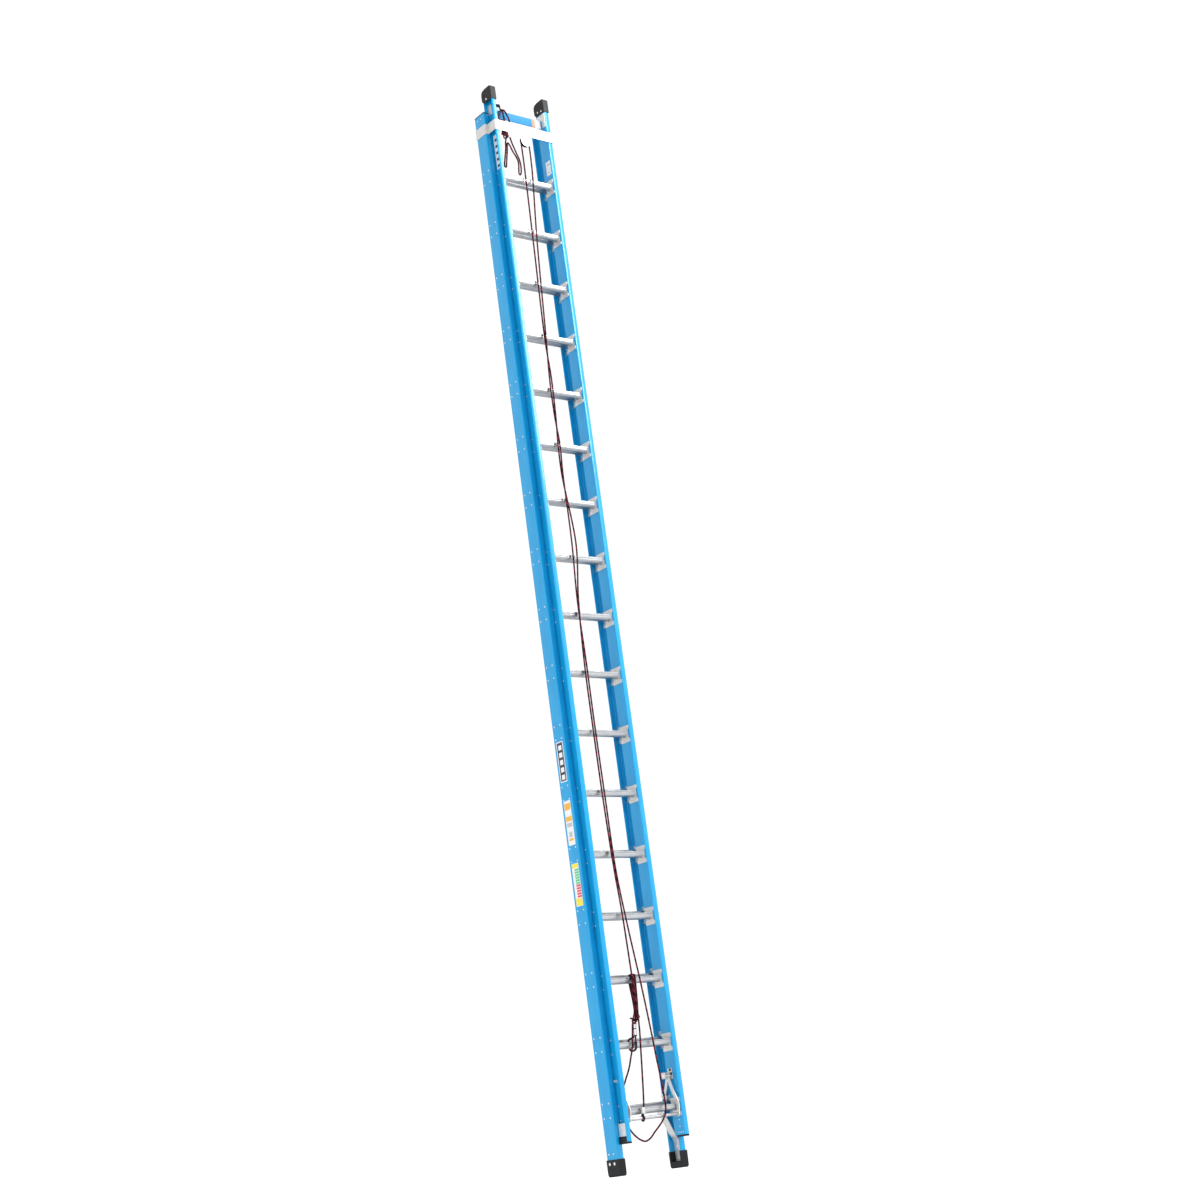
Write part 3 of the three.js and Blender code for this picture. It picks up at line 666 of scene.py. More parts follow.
TIE_BIGHTS = [
    (-0.114, -0.065, 5.4), (-0.124, -0.065, 5.37), (-0.13, -0.063, 5.318), (-0.143, -0.061, 5.255),
    (-0.149, -0.061, 5.225), (-0.147, -0.061, 5.211), (-0.14, -0.061, 5.213),
    (-0.133, -0.061, 5.245), (-0.118, -0.061, 5.318), (-0.11, -0.061, 5.364),
    (-0.097, -0.061, 5.35), (-0.082, -0.061, 5.318), (-0.064, -0.061, 5.29),
    (-0.054, -0.061, 5.262), (-0.057, -0.061, 5.215), (-0.059, -0.061, 5.192),
    (-0.053, -0.061, 5.184), (-0.044, -0.061, 5.2), (-0.04, -0.061, 5.24), (-0.044, -0.061, 5.275),
    (-0.062, -0.062, 5.318), (-0.084, -0.064, 5.372), (-0.092, -0.065, 5.4),
]
PULLEY = Vector([c * MM for c in PULLEY_MM])
WRAP_M = 0.0245                     # radius of the rope's line round the sheave
TURNS = 3


def over_pulley():
    """Half a turn over the sheave, in its groove."""
    return [(x, PULLEY.y, z) for x, z in arc(PULLEY.x, PULLEY.z, WRAP_M, 180, 0)]


def hank():
    """Three long turns of spare rope over the third fly rung, leaning to the knot under them."""
    first, pitch, skew, lean = -0.024, 0.0095, 0.35, 0.06
    front, top = -0.0615, 0.917
    out = []
    for k in range(TURNS):
        for i, (y, z) in enumerate(HANK_TURN):
            x = first + pitch * (k + i / len(HANK_TURN)) + skew * (y - front) - lean * (top - z)
            out.append((x, y, z))
    return out


def lashing():
    """Three turns over the pole strap, drawn together in a knot below it."""
    out = []
    for k in range(TURNS):
        x = -0.114 + 0.011 * k          # over the strap
        wide = -0.146 + 0.034 * k       # where the turn stands widest
        low = -0.122 + 0.009 * k        # at the knot
        out += [(x, -0.040, 5.576), (x - 0.001, -0.048, 5.569),
                ((x + wide) / 2 - 0.003, -0.055, 5.546), (wide, -0.060, 5.508),
                ((wide + low) / 2, -0.061, 5.462), (low, -0.062, 5.432)]
        if k < TURNS - 1:
            out += [(low + 0.003, -0.054, 5.418), (low + 0.005, -0.040, 5.424),
                    (x + 0.006, -0.031, 5.480), (x + 0.009, -0.031, 5.562)]
    return out


def make_ropes():
    falls, line = rope("halyard_falls", FALL_UP + over_pulley() + FALL_DOWN)
    settle(falls, "base", ["halyard_rope"])
    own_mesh(falls)
    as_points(line)

    eye, line = rope("halyard_eye", EYE)
    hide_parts("halyard_rope")
    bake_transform(eye)
    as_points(line)

    tail, line = rope("halyard_tail", BIGHT + hank() + END_EYE)
    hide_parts("halyard_free_end")
    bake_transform(tail)
    hank_knot = knot("halyard_knot", (-0.040, -0.053, 0.704), 0.0056, Matrix.Rotation(1.1, 3, "X"))
    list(end_fittings())
    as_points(line)

    tie, line = rope("tie_line", TIE_START + lashing() + TIE_BIGHTS)
    settle(tie, "fly", ["tie_rope"])
    lashing_knot = knot("tie_knot", (-0.115, -0.058, 5.410), 0.0068, Matrix.Rotation(1.2, 3, "X"))
    stopper = knot("tie_stopper", (-0.145, -0.060, 5.580), 0.0026, Matrix.Rotation(0.3, 3, "Y"))
    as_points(line)


def sleeve(name, points, radius, material):
    """A short tight tube round a stretch of rope."""
    step = ROPE_STEP_M / 2
    line = smooth_line([Vector(p) for p in points])
    line = spaced(line, round(total(line) / step))
    obj = tube(name, line, radius, material, sides=16, swell=0.0)
    settle(obj, "fly")
    return obj


def end_fittings():
    """On the rope's end: a pale ferrule with dark bands, and a black sleeve round the rung."""
    pressed = END_EYE[2:5]
    ferrule = sleeve("halyard_ferrule", pressed, 0.0088, SHEET)
    bands = Shape()
    for point in pressed:
        bands.revolve([(8.6, -2.4), (9.4, -1.8), (9.4, 1.8), (8.6, 2.4)],
                      [c / MM for c in point], (0.05, 0, 1))
    bands = bands.make("halyard_ferrule_bands", [PLASTIC], "fly", "plastic")
    cover = sleeve("halyard_eye_sleeve", END_EYE[5:15], 0.0052, PLASTIC)
    return [ferrule, bands, cover]


make_ropes()


# ---- rails ------------------------------------------------------------------
def rail_outline(web_x, flange, front, rear, reach):
    """Channel in (x, y). Its flanges run from the web at web_x towards +x or -x, as reach says."""
    corner, fillet, chamfer = 5, 3.0, 1.4
    lip, slope, bead = 8.0, 4, 0.9
    inner0, inner1 = front + WALL, rear - WALL
    local = [
        *arc(corner, front + corner, corner, 180, 270, 8),
        (flange - chamfer, front), (flange, front + chamfer),
        (flange, inner0 + bead - chamfer), (flange - chamfer, inner0 + bead),
        (flange - lip, inner0 + bead), (flange - lip - slope, inner0), (WALL + fillet, inner0),
        *arc(WALL + fillet, inner0 + fillet, fillet, 270, 180, 4),
        *arc(WALL + fillet, inner1 - fillet, fillet, 180, 90, 4),
        (flange - lip - slope, inner1), (flange - lip, inner1 - bead),
        (flange - chamfer, inner1 - bead), (flange, inner1 - bead + chamfer),
        (flange, rear - chamfer), (flange - chamfer, rear),
        *arc(corner, rear - corner, corner, 90, 180, 8),
    ]
    return [(web_x + reach * s, y) for s, y in local]


def make_rails():
    rings = 36
    for side, label in SIDES:
        base = rail_outline(side * BASE_WEB_X, BASE_FLANGE, BASE_FRONT_Y, BASE_REAR_Y, -side)
        Shape().prism(base, "z", BASE_BOTTOM_Z, BASE_TOP_Z, steps=rings).make(
            f"rail_base_{label}", [FIBREGLASS], "base", "fibreglass", [f"base_rail_{label}"])
        fly = rail_outline(side * FLY_WEB_X, FLY_FLANGE, FLY_FRONT_Y, FLY_REAR_Y, side)
        Shape().prism(fly, "z", FLY_BOTTOM_Z, FLY_TOP_Z, steps=rings).make(
            f"rail_fly_{label}", [FIBREGLASS], "fly", "fibreglass", [f"fly_rail_{label}"])


# ---- rungs ------------------------------------------------------------------
RUNG_HALF_DEPTH, RUNG_HALF_HEIGHT, BELLY_TOP = 19.0, 15.5, 6.5
RUNG_METALS = [EXTRUDED, SHEET, STEEL]
RUNG_FLARE = [(1, 1.13), (4, 1.11), (9, 1.04), (15, 1.0)]      # distance from the end, size there
RIVET_PLACES = [(y, z) for y in (-24, 24) for z in (-33, 33)]


def rung_outline():
    """D section in (y, z) about its middle: fluted belly, grooved sides and a serrated tread."""
    flutes, flute_depth = 9, 0.06
    steps = flutes * 4
    belly = []
    for i in range(steps + 1):
        angle = math.pi * i / steps
        size = 1 - flute_depth * (1 - math.cos(2 * math.pi * i / 4)) / 2
        belly.append((RUNG_HALF_DEPTH * size * math.cos(angle),
                      BELLY_TOP - (RUNG_HALF_HEIGHT + BELLY_TOP) * size * math.sin(angle)))
    nose, shoulder = -RUNG_HALF_DEPTH, 1.6
    front = [(nose, 7.4), (nose + 1.5, 8.0), (nose + 1.5, 9.2), (nose, 9.8), (nose, 11.0),
             (nose + 1.3, 11.5), (nose + 1.3, 12.4), (nose, 12.9), (nose, 14.0),
             (nose + shoulder, RUNG_HALF_HEIGHT)]
    teeth, valley = 8, RUNG_HALF_HEIGHT - 1.3
    pitch = 2 * (RUNG_HALF_DEPTH - shoulder) / teeth
    tread = []
    for i in range(teeth):
        y = nose + shoulder + pitch * i
        tread += [(y + 0.45 * pitch, RUNG_HALF_HEIGHT), (y + 0.62 * pitch, valley),
                  (y + 0.83 * pitch, valley)]
    return belly + front + tread + [(-y, z) for y, z in reversed(front)]


def plate_outline():
    """Bow-tie end plate in (y, z) about the rung's middle."""
    depth, height, notch = 35, 43, 8
    waist = RUNG_HALF_HEIGHT + 3
    half = [(depth, height), (depth, waist + notch), (depth - notch, waist),
            (depth - notch, -waist), (depth, -waist - notch), (depth, -height)]
    return rounded(half + [(-a, -b) for a, b in half], 3.5, 3)


def rung(name, body, node, y, z, half, web):
    """A rung between its two plates. Its rivets show inside on the plate and outside on the web."""
    section = rung_outline()
    flare = RUNG_FLARE[-1][0]
    left = [(-half + distance, size) for distance, size in RUNG_FLARE]
    middle = [(-half + flare + (2 * half - 2 * flare) * i / 6, 1.0) for i in range(1, 6)]
    stations = left + middle + [(-x, size) for x, size in reversed(left)]
    bar = Shape().loft([[(x, y + a * size, z + b * size) for a, b in section]
                        for x, size in stations]).make(name, RUNG_METALS)
    plates, heads = Shape(), Shape()
    for side in (-1, 1):
        face = side * (half - PLATE_THICK)
        plates.prism([(y + a, z + b) for a, b in plate_outline()], "x",
                     min(face, side * half), max(face, side * half), slot=1)
        for a, b in RIVET_PLACES:
            heads.rivet((face, y + a, z + b), (-side, 0, 0), slot=2)
            heads.rivet((side * web, y + a, z + b), (side, 0, 0), slot=2)
    merge(bar, [plates.make("plates", RUNG_METALS, bevel=0.7), heads.make("heads", RUNG_METALS)])
    settle(bar, body, [node])


def merge(obj, others):
    """Adds other objects' meshes to obj's and removes them."""
    bm = bmesh.new()
    for part in [obj, *others]:
        bm.from_mesh(part.data)
    bm.to_mesh(obj.data)
    bm.free()
    shade(obj)
    for part in others:
        bpy.data.objects.remove(part)
    if "weighted" not in obj.modifiers:
        obj.modifiers.new("weighted", "WEIGHTED_NORMAL").keep_sharp = True


def add_heads(obj, heads, materials):
    """Adds the heads of rivets and bolts to a piece that has the same materials."""
    merge(obj, [heads.make("heads", materials)])


def make_rungs():
    for i in range(RUNG_COUNT):
        number = f"{i + 1:02d}"
        rise = i * RUNG_PITCH
        rung(f"rung_base_{number}", "base", f"base_rung_{number}", BASE_MID_Y, BASE_RUNG_Z + rise,
             BASE_WEB_X - WALL - GAP, BASE_WEB_X)
        rung(f"rung_fly_{number}", "fly", f"fly_rung_{number}", FLY_MID_Y, FLY_RUNG_Z + rise,
             FLY_WEB_X - GAP, FLY_WEB_X + WALL)


# ---- feet -------------------------------------------------------------------
def make_boots():
    """Rubber boots with a treaded sole, a mouth round the rail and two rivets on the outside."""
    front, rear, top = -14, 79.5, 78
    inner_x, outer_x = 170, 209.6
    corner, lining = 14, 3.3
    materials = [RUBBER, STEEL]
    sole = []
    for k in range(1, 10):
        y = front + 12 + 7 * k
        sole += [(y - 1.4, 0), (y - 0.9, 2.4), (y + 0.9, 2.4), (y + 1.4, 0)]
    outline = [(front, top), *arc(front + corner, corner, corner, 180, 270), *sole,
               *arc(rear - corner, corner, corner, 270, 360), (rear, top)]
    rail = rail_outline(BASE_WEB_X + GAP, BASE_FLANGE, BASE_FRONT_Y - GAP, BASE_REAR_Y + GAP, -1)
    lined = box_outline(BASE_FRONT_Y + WALL + lining, BASE_REAR_Y - WALL - lining, 30, 95)
    for side, label in SIDES:
        boot = Shape().prism(outline, "x", inner_x, outer_x).make(f"boot_{label}", materials)
        mouth = Shape().prism(rail, "z", BASE_BOTTOM_Z - 1, top + 12).make("mouth", [RUBBER])
        inside = Shape().prism(rounded(lined, 3), "x", inner_x - 10, 202.7).make("inside", [RUBBER])
        carve(boot, [mouth, inside])
        finish_edges(boot, 2.4, 40, 3)
        heads = Shape()
        for y in (20, 56):
            heads.rivet((outer_x, y, 59), (1, 0, 0), 7.4, 1.35, slot=1)
        add_heads(boot, heads, materials)
        if side < 0:
            mirror(boot)
        settle(boot, "base", [f"base_boot_{label}"])


def mirror(obj):
    obj.data.transform(Matrix.Scale(-1, 4, (1, 0, 0)))
    obj.data.flip_normals()


def make_braces():
    """Curved foot braces from under the lowest base rung down into the boots."""
    thick, half_width = 3, 22.5
    web = BASE_WEB_X - WALL - GAP - thick / 2
    under = BASE_RUNG_Z - RUNG_HALF_HEIGHT - GAP - thick / 2
    route = [(80, under), (100, under - 1), (118, under - 14), (140, 236), (163, 190), (182, 152),
             (web - 4, 130), (web, 112), (web, 70), (web, BASE_BOTTOM_Z + 2)]
    for side, label in SIDES:
        strip = Shape().prism([(side * x, z) for x, z in ribbon(route, thick, 48)], "y",
                              BRACE_Y - half_width, BRACE_Y + half_width)
        strip = strip.make(f"brace_{label}", SHEET_METALS, bevel=0.8, sharp=60)
        heads = Shape()
        heads.bolt((side * (web - thick / 2), BRACE_Y, 100), (-side, 0, 0), 5.5, 4, slot=1)
        heads.rivet((side * 92, BRACE_Y - 8, under - thick / 2), (0, 0, -1), 5, 2, slot=1)
        add_heads(strip, heads, SHEET_METALS)
        settle(strip, "base", [f"base_brace_{label}"])


# ---- ends of the rails ------------------------------------------------------
def ribbed(points, depth, pitch):
    """An open line with square ribs cut into its right-hand side."""
    line = smooth_line([Vector((a, b, 0)) for a, b in points])
    count = max(2, round(total(line) / pitch)) * 4
    line = spaced(line, count)
    out = []
    for i, at in enumerate(line):
        way = (line[min(i + 1, count)] - line[max(i - 1, 0)]).normalized()
        sunk = depth if i % 4 in (1, 2) and 0 < i < count else 0
        out.append((at.x - way.y * sunk, at.y + way.x * sunk))
    return out


def make_fly_cap(side, label):
    """Rubber cap on a fly tip, ribbed where it leans on a wall."""
    low, high = FLY_TOP_Z - 27, FLY_TOP_Z + 53
    front, rear = FLY_FRONT_Y - 4, FLY_REAR_Y + 7
    inner_x, outer_x = 157.5, 192.6
    corner = 12
    materials = [RUBBER, STEEL]
    back = ribbed([(rear, low + 26), (rear, high - 24), (rear - 3, high - 14),
                   (rear - 10, high - 6), (rear - 21, high - 1.5), (rear - 32, high - 0.2)],
                  depth=2.6, pitch=10)
    outline = [(front, low), (rear - 16, low), (rear - 4, low + 14), *back,
               *arc(front + corner, high - corner, corner, 90, 180, 5)]
    cap = Shape().prism(outline, "x", inner_x, outer_x).make(f"cap_fly_{label}", materials)
    hollow = Shape().prism(
        box_outline(FLY_FRONT_Y - GAP, FLY_REAR_Y + GAP, low - 5, FLY_TOP_Z + GAP), "x",
        FLY_WEB_X - GAP, FLY_WEB_X + FLY_FLANGE + GAP)
    carve(cap, [hollow.make("hollow", [RUBBER])])
    finish_edges(cap, 1.8, 40, 3)
    heads = Shape()
    for y, z in ((-53, low + 14), (-22, low + 20)):
        heads.rivet((inner_x, y, z), (-1, 0, 0), 5.5, 2, slot=1)
    heads.rivet((outer_x, -30, low + 16), (1, 0, 0), 6, 2.2, slot=1)
    add_heads(cap, heads, materials)
    if side < 0:
        mirror(cap)
    settle(cap, "fly", [f"fly_top_cap_{label}"])


def make_base_cap(side, label):
    """Plastic edging on the top of a base rail, and the rivets that hold it."""
    proud = 0.5
    edge = rail_outline(side * (BASE_WEB_X + proud), BASE_FLANGE, BASE_FRONT_Y - proud,
                        BASE_REAR_Y + proud, -side)
    Shape().prism(edge, "z", BASE_TOP_Z + GAP, BASE_TOP_Z + 6).make(
        f"cap_base_{label}", [PLASTIC], "base", "plastic", [f"base_top_cap_{label}"], bevel=1.2)
    heads = Shape()
    for y in (22, 50):
        heads.rivet((side * BASE_WEB_X, y, BASE_TOP_Z - 22), (side, 0, 0), 3.6, 1.6)
    heads.make(f"cap_rivets_{label}", [STEEL], "base", "steel")


def make_top_caps():
    for side, label in SIDES:
        make_fly_cap(side, label)
        make_base_cap(side, label)


def across(side, a, b):
    """A span in x that is given for the right-hand side, on either side."""
    return (a, b) if side > 0 else (-b, -a)


def make_fly_feet():
    """Black plugs in the ends of the fly rails, with blocks above them that guide the section."""
    for side, label in SIDES:
        web, rear = side * FLY_WEB_X, BASE_FRONT_Y - 1
        plug = Shape()
        spigot = box_outline(*across(side, FLY_WEB_X + WALL + GAP, FLY_WEB_X + FLY_FLANGE - 1),
                             FLY_FRONT_Y + WALL + GAP, rear)
        plug.prism(rounded(spigot, 2), "z", 148, 174)
        plate = box_outline(*across(side, FLY_WEB_X, FLY_WEB_X + FLY_FLANGE), FLY_FRONT_Y, rear)
        plug.prism(rounded(plate, 3), "z", 141, 149.6)
        plug.make(f"plug_{label}", [PLASTIC], "fly", "plastic", [f"fly_end_plug_{label}"],
                  bevel=1.0)

        outer = 185
        block = box_outline(*across(side, FLY_WEB_X + WALL + 0.4, outer),
                            FLY_FRONT_Y + 8, BASE_FRONT_Y - 1.5)
        guide = Shape().prism(rounded(block, 2), "z", 175, 235)
        guide = guide.make(f"guide_{label}", SHEET_METALS, bevel=1.0)
        heads = Shape()
        for z in (190, 220):
            heads.rivet((side * outer, -40, z), (side, 0, 0), 4.5, 1.8, slot=1)
            heads.rivet((web, -44, z), (-side, 0, 0), 3.4, 1.5, slot=1)
        for y in (-62, -46, -30):
            heads.rivet((web, y, 162), (-side, 0, 0), 3.0, 1.3, slot=1)
        add_heads(guide, heads, SHEET_METALS)
        settle(guide, "fly")

        feet = Shape()
        for y in (21, 56):
            feet.rivet((side * BASE_WEB_X, y, 103), (side, 0, 0), 4.2, 1.7)
        feet.make(f"foot_rivets_{label}", [STEEL], "base", "steel")


# ---- head strap and pulley --------------------------------------------------
def make_head_strap():
    """Strap round the base's top and, stepped forward, round the fly, with the pulley's cheek."""
    thick = 4
    outer, inner = 210.8, 207.3
    rear, step = BASE_REAR_Y - 0.5, BASE_FRONT_Y - GAP - thick
    side_in = FLY_WEB_X + FLY_FLANGE + 0.5
    side_out = side_in + thick
    front = FLY_FRONT_Y - 2 - thick
    half = [(outer, rear), (outer, step), (side_out, step), (side_out, front)]
    inside = [(side_in, front + thick), (side_in, step + thick), (inner, step + thick),
              (inner, rear)]
    outline = [*half, *[(-x, y) for x, y in reversed(half)],
               *[(-x, y) for x, y in reversed(inside)], *inside]
    radii = [1, 7, 3, 7, 7, 3, 7, 1, 1, 3, 7, 3, 3, 7, 3, 1]
    strap = Shape().prism(rounded(outline, radii, 6), "z", 5422, 5480)
    strap = strap.make("strap", SHEET_METALS, bevel=0.8, sharp=60)
    x, _, z = PULLEY_MM
    reach, cheek_top = 30, 5440
    cheek = [(x + reach, cheek_top), *arc(x, z, reach, 0, -180, 20), (x - reach, cheek_top)]
    cheek = Shape().prism(cheek, "y", -77.5, -74.5)
    merge(strap, [cheek.make("cheek", SHEET_METALS, bevel=0.8, sharp=60)])
    settle(strap, "base", ["head_strap"])


def make_pulley():
    """Axle bolt through the cheek with its nut behind, and a grooved sheave."""
    x, y, z = PULLEY_MM
    axle = [(2, -79.4), (7.2, -79.3), (8, -78.7), (8, -77.8), (5, -77.8), (5, -58.3), (9, -58.3),
            (9, -56.8), (8.4, -56.3), (2, -56.3)]
    Shape().revolve(axle, (x, 0, z), (0, 1, 0), 32).make(
        "axle", [STEEL], "base", "steel", ["pulley_axle"])
    face = 7.2
    half = [(5.5, face), (9, face), (11, face - 1.6), (20, face - 1.6), (23, face - 0.2),
            (28, face - 0.2), (29, face - 1), (28.6, 5.6), (24, 5), (20.2, 4.2), (19.2, 2.2)]
    profile = [(radius, -along) for radius, along in half] + half[::-1]
    Shape().revolve(profile, (x, y, z), (0, 1, 0), 48, closed=True).make(
        "sheave", [PLASTIC], "pulley", "plastic", ["pulley_sheave"])


# ---- pole strap -------------------------------------------------------------
def make_webbing():
    """The strap that a pole leans on, sagging a little between the fly rails."""
    reach = FLY_WEB_X - 0.4
    bottom, middle, top = 5517, 5542, 5567
    count = 64
    rings = []
    for i in range(count + 1):
        x = -reach + 2 * reach * i / count
        sag = 1 - (x / reach) ** 2
        y = -40 + 0.8 * sag
        drop = 1.5 * sag
        ridge = 0.2 * math.sin(math.pi * i / 4)
        lower = [(y - 1.4, bottom + 1 - drop), (y - 0.4, bottom - drop), (y + 0.6, bottom - drop),
                 (y + 1.4, bottom + 1 - drop)]
        upper = [(y + 1.4, top - 1 - drop), (y + 0.6, top - drop), (y - 0.4, top - drop),
                 (y - 1.4, top - 1 - drop)]
        back, front = (y + 1.5 - ridge, middle - drop), (y - 1.5 - ridge, middle - drop)
        rings.append([(x, *p) for p in [*lower, back, *upper, front]])
    Shape().loft(rings).make("pole_strap_web", [WEBBING], "fly", "webbing", ["pole_strap"])


def pole_bracket(name, outline, span, bevel, rivets, radius, height):
    """A plate on a fly web, whose bare face is turned to the left, with rivets at (y, z)."""
    plate = Shape().prism(outline, "x", *span).make(name, SHEET_METALS, bevel=bevel)
    heads = Shape()
    for y, z in rivets:
        heads.rivet((span[0], y, z), (-1, 0, 0), radius, height, slot=1)
    add_heads(plate, heads, SHEET_METALS)
    settle(plate, "fly")


def make_pole_strap():
    make_webbing()
    pole_bracket("pole_bracket_right", rounded(box_outline(-72, -6, 5521, 5604), 4),
                 span=(158.6, 161.1), bevel=0.6, radius=4, height=1.8,
                 rivets=((-62, 5532), (-62, 5594), (-16, 5594), (-16, 5532)))
    notched = [(-34, 5540), (2, 5540), (2, 5556), (-4, 5562), (-4, 5574), (2, 5580), (2, 5600),
               (-34, 5600)]
    pole_bracket("pole_bracket_left", rounded(notched, 2.5, 3), span=(-168.2, -166.2), bevel=0.5,
                 radius=3.6, height=1.6, rivets=((-24, 5549), (-24, 5591)))


# ---- rung lock --------------------------------------------------------------
LOCK_PIVOT = (-17, 430)             # (y, z)
LOCK_BAR = (-58, 247)
ARM_X = (146, 152)
EAR_X, WEB_PLATE_X = (127, 129.6), (158.4, 161.2)
BRACKET_METALS = [SHEET, STEEL, PLASTIC]


def lock_pieces(x0, x1):
    """Front leg, rear leg, hook, hub and the eye round the tie bar, as overlapping solids."""
    leg_width = 16.5
    front = ribbon([LOCK_PIVOT, (-29, 390), (-44, 348), (-62, 309), (-67, 284), LOCK_BAR],
                   leg_width)
    rear = ribbon([LOCK_PIVOT, (6, 375), (26, 335)], leg_width, 16)
    hook = arc(*LOCK_PIVOT, 117.7, -75, -53, 12) + arc(*LOCK_PIVOT, 95.7, -53, -75, 12)
    discs = [arc(*LOCK_PIVOT, 14, 0, 345, 23), arc(*LOCK_BAR, 12, 0, 345, 23)]
    return [Shape().prism(outline, "x", x0, x1).make("lock_piece", SHEET_METALS)
            for outline in (front, rear, rounded(hook, 1.5, 3), *discs)]


def make_lock_arm(side, label):
    arm, *others = lock_pieces(*across(side, *ARM_X))
    arm.name = f"lock_{label}"
    carve(arm, others, "UNION")
    middle = side * sum(ARM_X) / 2
    hole = Shape().revolve([(5.5, -20), (5.5, 20)], (middle, 22, 345), (1, 0, 0), 20)
    eye = Shape().revolve([(5.6, -20), (5.6, 20)], (middle, *LOCK_PIVOT), (1, 0, 0), 24)
    carve(arm, [hole.make("hole", [SHEET]), eye.make("eye", [SHEET])])
    finish_edges(arm, 1.0, 42)
    settle(arm, "lock", [f"lock_arm_{label}"])


def make_lock_pivot(side, label):
    """Bolt from the bracket's ear, through the arm and the web, to its nut outside."""
    profile = [(3, 122.6), (6.6, 123), (7, 124), (7, 126.8), (5, 126.9), (5, 140), (8, 140.1),
               (8, 145.6), (5, 145.7), (5, 152.3), (9, 152.3), (9, 161.2), (5, 161.2), (5, 166.3),
               (9, 166.3), (9, 170), (6.6, 170.6), (6.6, 177.5), (5.4, 179), (3, 179.2)]
    Shape().revolve(profile, (0, *LOCK_PIVOT), (side, 0, 0), 28).make(
        f"pivot_{label}", [STEEL], "fly", "steel", [f"lock_pivot_{label}"])


def make_lock_bracket(side, label):
    """Bracket of a plate on the web, an ear round the bolt and a back that joins the two."""
    back, low, high = 3.5, 416, 446
    web_plate = [(-42, 412), (back, 412), (back, high), (-10, high), (-10, 462), (-42, 462)]
    ear = [(-27, 419), (-22, low), (back, low), (back, high), (-22, high), (-27, 441)]
    plates = Shape()
    plates.prism(rounded(web_plate, 2.5), "x", *across(side, *WEB_PLATE_X))
    plates.prism(rounded(ear, 2.5), "x", *across(side, *EAR_X))
    joint = box_outline(*across(side, EAR_X[0], WEB_PLATE_X[1]), 1.2, 3.6)
    plates.prism(rounded(joint, 0.8), "z", low, high)
    plates = plates.make(f"lock_bracket_{label}", BRACKET_METALS, bevel=0.6)
    heads = Shape()
    for y, z in ((-36, 437), (-30, 455)):
        heads.bolt((side * WEB_PLATE_X[0], y, z), (-side, 0, 0), 4.4, 5.0, slot=2)
    add_heads(plates, heads, BRACKET_METALS)
    settle(plates, "fly")


def make_lock():
    for side, label in SIDES:
        make_lock_arm(side, label)
        make_lock_pivot(side, label)
        make_lock_bracket(side, label)
    bar = [(2, -145.7), (7.2, -145.6), (8, -144.6), (8, -60), (8, 60), (8, 144.6), (7.2, 145.6),
           (2, 145.7)]
    Shape().revolve(bar, (0, *LOCK_BAR), (1, 0, 0), 28).make(
        "tie_bar", [EXTRUDED], "lock", "aluminium", ["lock_tie_bar"])


def make_rope_ferrule():
    """The pressed ferrule that closes the rope's eye above the tie bar."""
    profile = [(2, -15), (9.4, -14.2), (10.4, -12), (10.4, 12), (9.4, 14.2), (2, 15)]
    Shape().revolve(profile, (-68, -66.5, 281), (0.02, 0, 1), 28).make(
        "eye_ferrule", [SHEET], "lock", "aluminium")


# ---- stickers ---------------------------------------------------------------
INKS = {
    "white_film": (0.80, 0.81, 0.82), "dark_film": (0.030, 0.034, 0.060),
    "amber_film": (0.83, 0.45, 0.035), "green_film": (0.10, 0.56, 0.24),
    "red_film": (0.76, 0.075, 0.13), "yellow_film": (0.86, 0.70, 0.05),
    "grey_film": (0.50, 0.50, 0.50),
}
FILMS = {name: film(name, colour) for name, colour in INKS.items()}


def sticker(name, x, body, blocks):
    """Thin printed film facing left on a web: each block is (ink, y0, y1, z0, z1, layer)."""
    shape = Shape()
    inks = sorted({block[0] for block in blocks})
    for ink, y0, y1, z0, z1, layer in blocks:
        block = rounded(box_outline(y0, y1, z0, z1), 2, 3)
        shape.prism(block, "x", x - (0.35 + 0.12 * layer), x - 0.1, inks.index(ink))
    shape.make(name, [FILMS[ink] for ink in inks], body)


def stack(ink, y0, y1, bottom, pitch, height, count, layer=1):
    """Evenly spaced bars, one above the other."""
    return [(ink, y0, y1, bottom + pitch * k, bottom + pitch * k + height, layer)
            for k in range(count)]


def make_stickers():
    sticker("sticker_base_plain", -BASE_WEB_X, "base", [
        ("white_film", 6, 60, 1880, 2082, 0), ("dark_film", 11, 55, 1885, 2077, 1),
        *stack("white_film", 20, 46, 1892, 37, 24, 5, 2)])
    sticker("sticker_base_amber", -BASE_WEB_X, "base", [
        ("white_film", 6, 60, 1566, 1786, 0), ("amber_film", 9, 57, 1740, 1773, 1),
        ("amber_film", 9, 57, 1684, 1708, 1), ("grey_film", 12, 54, 1656, 1676, 1),
        ("amber_film", 14, 52, 1588, 1600, 1), ("grey_film", 20, 46, 1606, 1632, 1)])
    sticker("sticker_base_bars", -BASE_WEB_X, "base", [
        ("white_film", 6, 60, 1268, 1476, 0), ("yellow_film", 8, 58, 1454, 1474, 1),
        ("yellow_film", 8, 58, 1270, 1306, 1),
        *stack("green_film", 8, 42, 1374, 13, 10, 6), *stack("red_film", 8, 42, 1310, 13, 10, 5)])
    sticker("sticker_fly_plain", -(FLY_WEB_X + WALL), "fly", [
        ("white_film", -58, -16, 5212, 5412, 0), *stack("dark_film", -50, -24, 5222, 38, 15, 5)])
    sticker("sticker_fly_small", FLY_WEB_X, "fly", [
        ("white_film", -66, -26, 5236, 5318, 0), ("red_film", -50, -40, 5250, 5256, 1),
        ("dark_film", -60, -36, 5296, 5300, 1)])


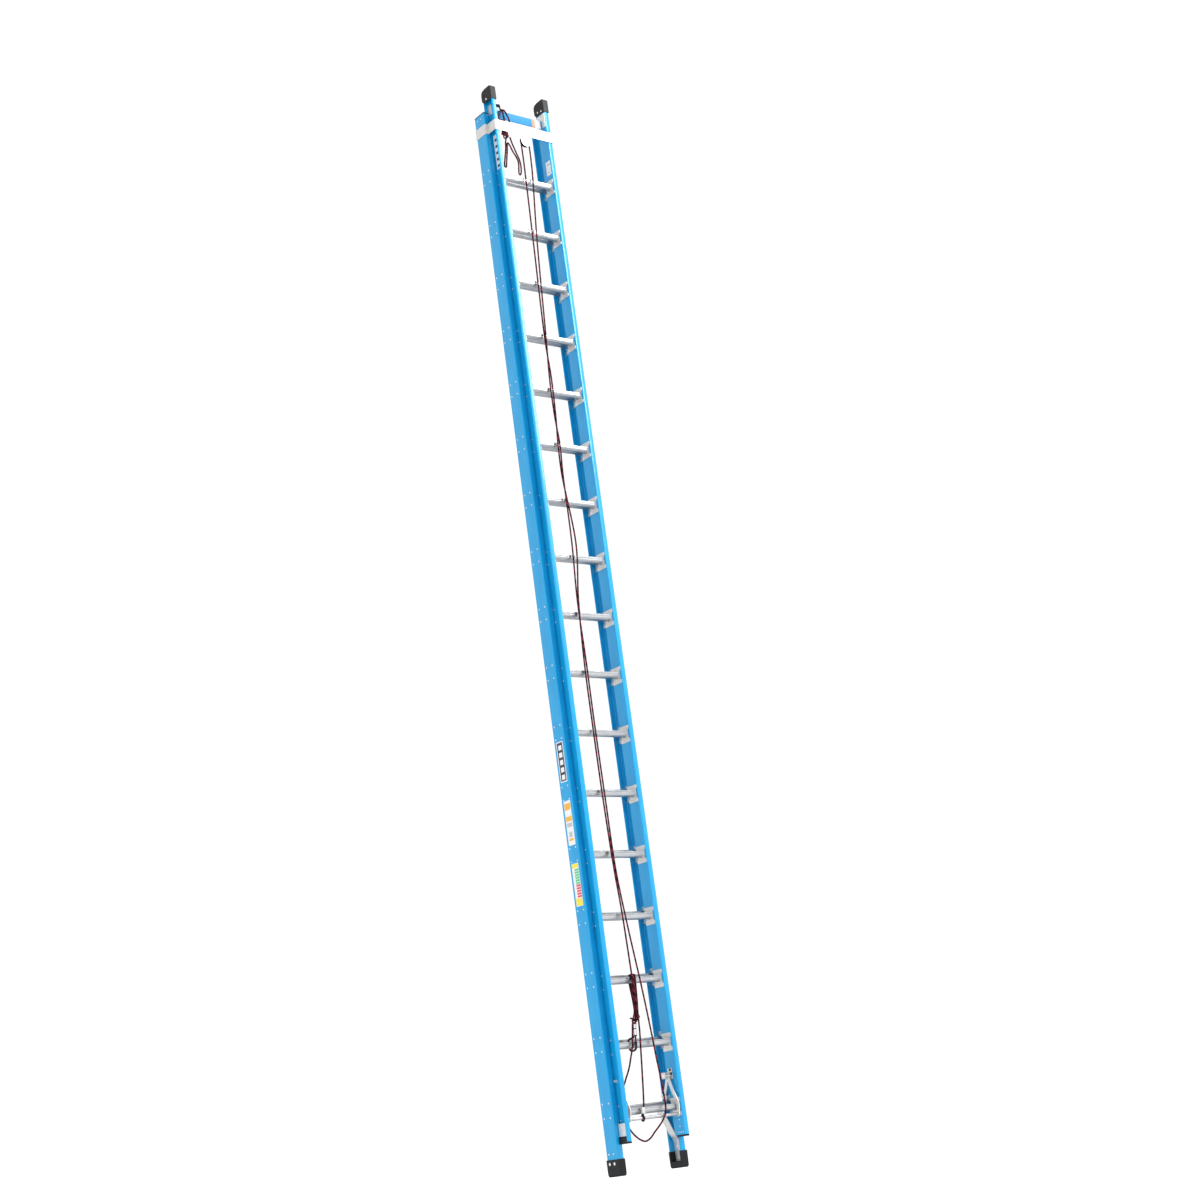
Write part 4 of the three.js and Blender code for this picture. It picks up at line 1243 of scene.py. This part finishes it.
# ---- stage ------------------------------------------------------------------
def make_floor():
    """A pale floor that glows faintly, so that it meets the sky without an edge."""
    g = Graph("floor")
    cloud = g.noise(g.place(), 1.3, 3, 0.5)
    tone = g.ramp(cloud, [(0.3, (0.93, 0.93, 0.932)), (0.7, (0.96, 0.96, 0.962))])
    g.done(tone, 0.9, Emission_Color=(1, 1, 1, 1), Emission_Strength=0.10)
    size = 60
    mesh = bpy.data.meshes.new("floor")
    mesh.from_pydata([(-size, -size, 0), (size, -size, 0), (size, size, 0), (-size, size, 0)], [],
                     [(0, 1, 2, 3)])
    mesh.materials.append(g.material)
    floor = put("floor", mesh)


def make_sky():
    """Studio walls: white behind and above the ladder, greyer behind the camera."""
    bright_side = Vector((0.45, 0.55, 0.70)).normalized()
    levels = ((0.05, 0.42), (0.50, 0.80), (0.80, 1.06))
    world = bpy.data.worlds.new("studio")
    bpy.context.scene.world = world
    world.use_nodes = True
    tree = world.node_tree
    where = tree.nodes.new("ShaderNodeTexCoord")
    turn = tree.nodes.new("ShaderNodeVectorMath")
    turn.operation = "DOT_PRODUCT"
    turn.inputs[1].default_value = bright_side
    spread = tree.nodes.new("ShaderNodeMapRange")
    spread.inputs[1].default_value = -1
    ramp = tree.nodes.new("ShaderNodeValToRGB")
    ends = ramp.color_ramp.elements
    ends.new(0.5)
    for end, (at, level) in zip(ends, levels):
        end.position = at
        end.color = (level, level, level * 1.01, 1)
    tree.links.new(where.outputs["Generated"], turn.inputs[0])
    tree.links.new(turn.outputs["Value"], spread.inputs[0])
    tree.links.new(spread.outputs[0], ramp.inputs[0])
    tree.links.new(ramp.outputs[0], tree.nodes["Background"].inputs["Color"])
    bpy.context.scene.view_settings.view_transform = "Standard"


def area_light(name, place, target, size, power):
    data = bpy.data.lights.new(name, "AREA")
    data.shape = "RECTANGLE"
    data.size, data.size_y = size
    data.energy = power
    light = put(name, data)
    light.location = place
    light.rotation_euler = (Vector(target) - Vector(place)).to_track_quat("-Z", "Y").to_euler()


make_rails()
make_rungs()
make_boots()
make_braces()
make_top_caps()
make_fly_feet()
make_head_strap()
make_pulley()
make_pole_strap()
make_lock()
make_rope_ferrule()
make_stickers()
make_floor()
make_sky()
area_light("key", place=(3.0, -5.4, 7.4), target=(0, 0, 4.4), size=(3.4, 3.4), power=560)
area_light("fill", place=(-4.8, -5.8, 3.6), target=(0, 0, 3.2), size=(1.4, 5.5), power=150)
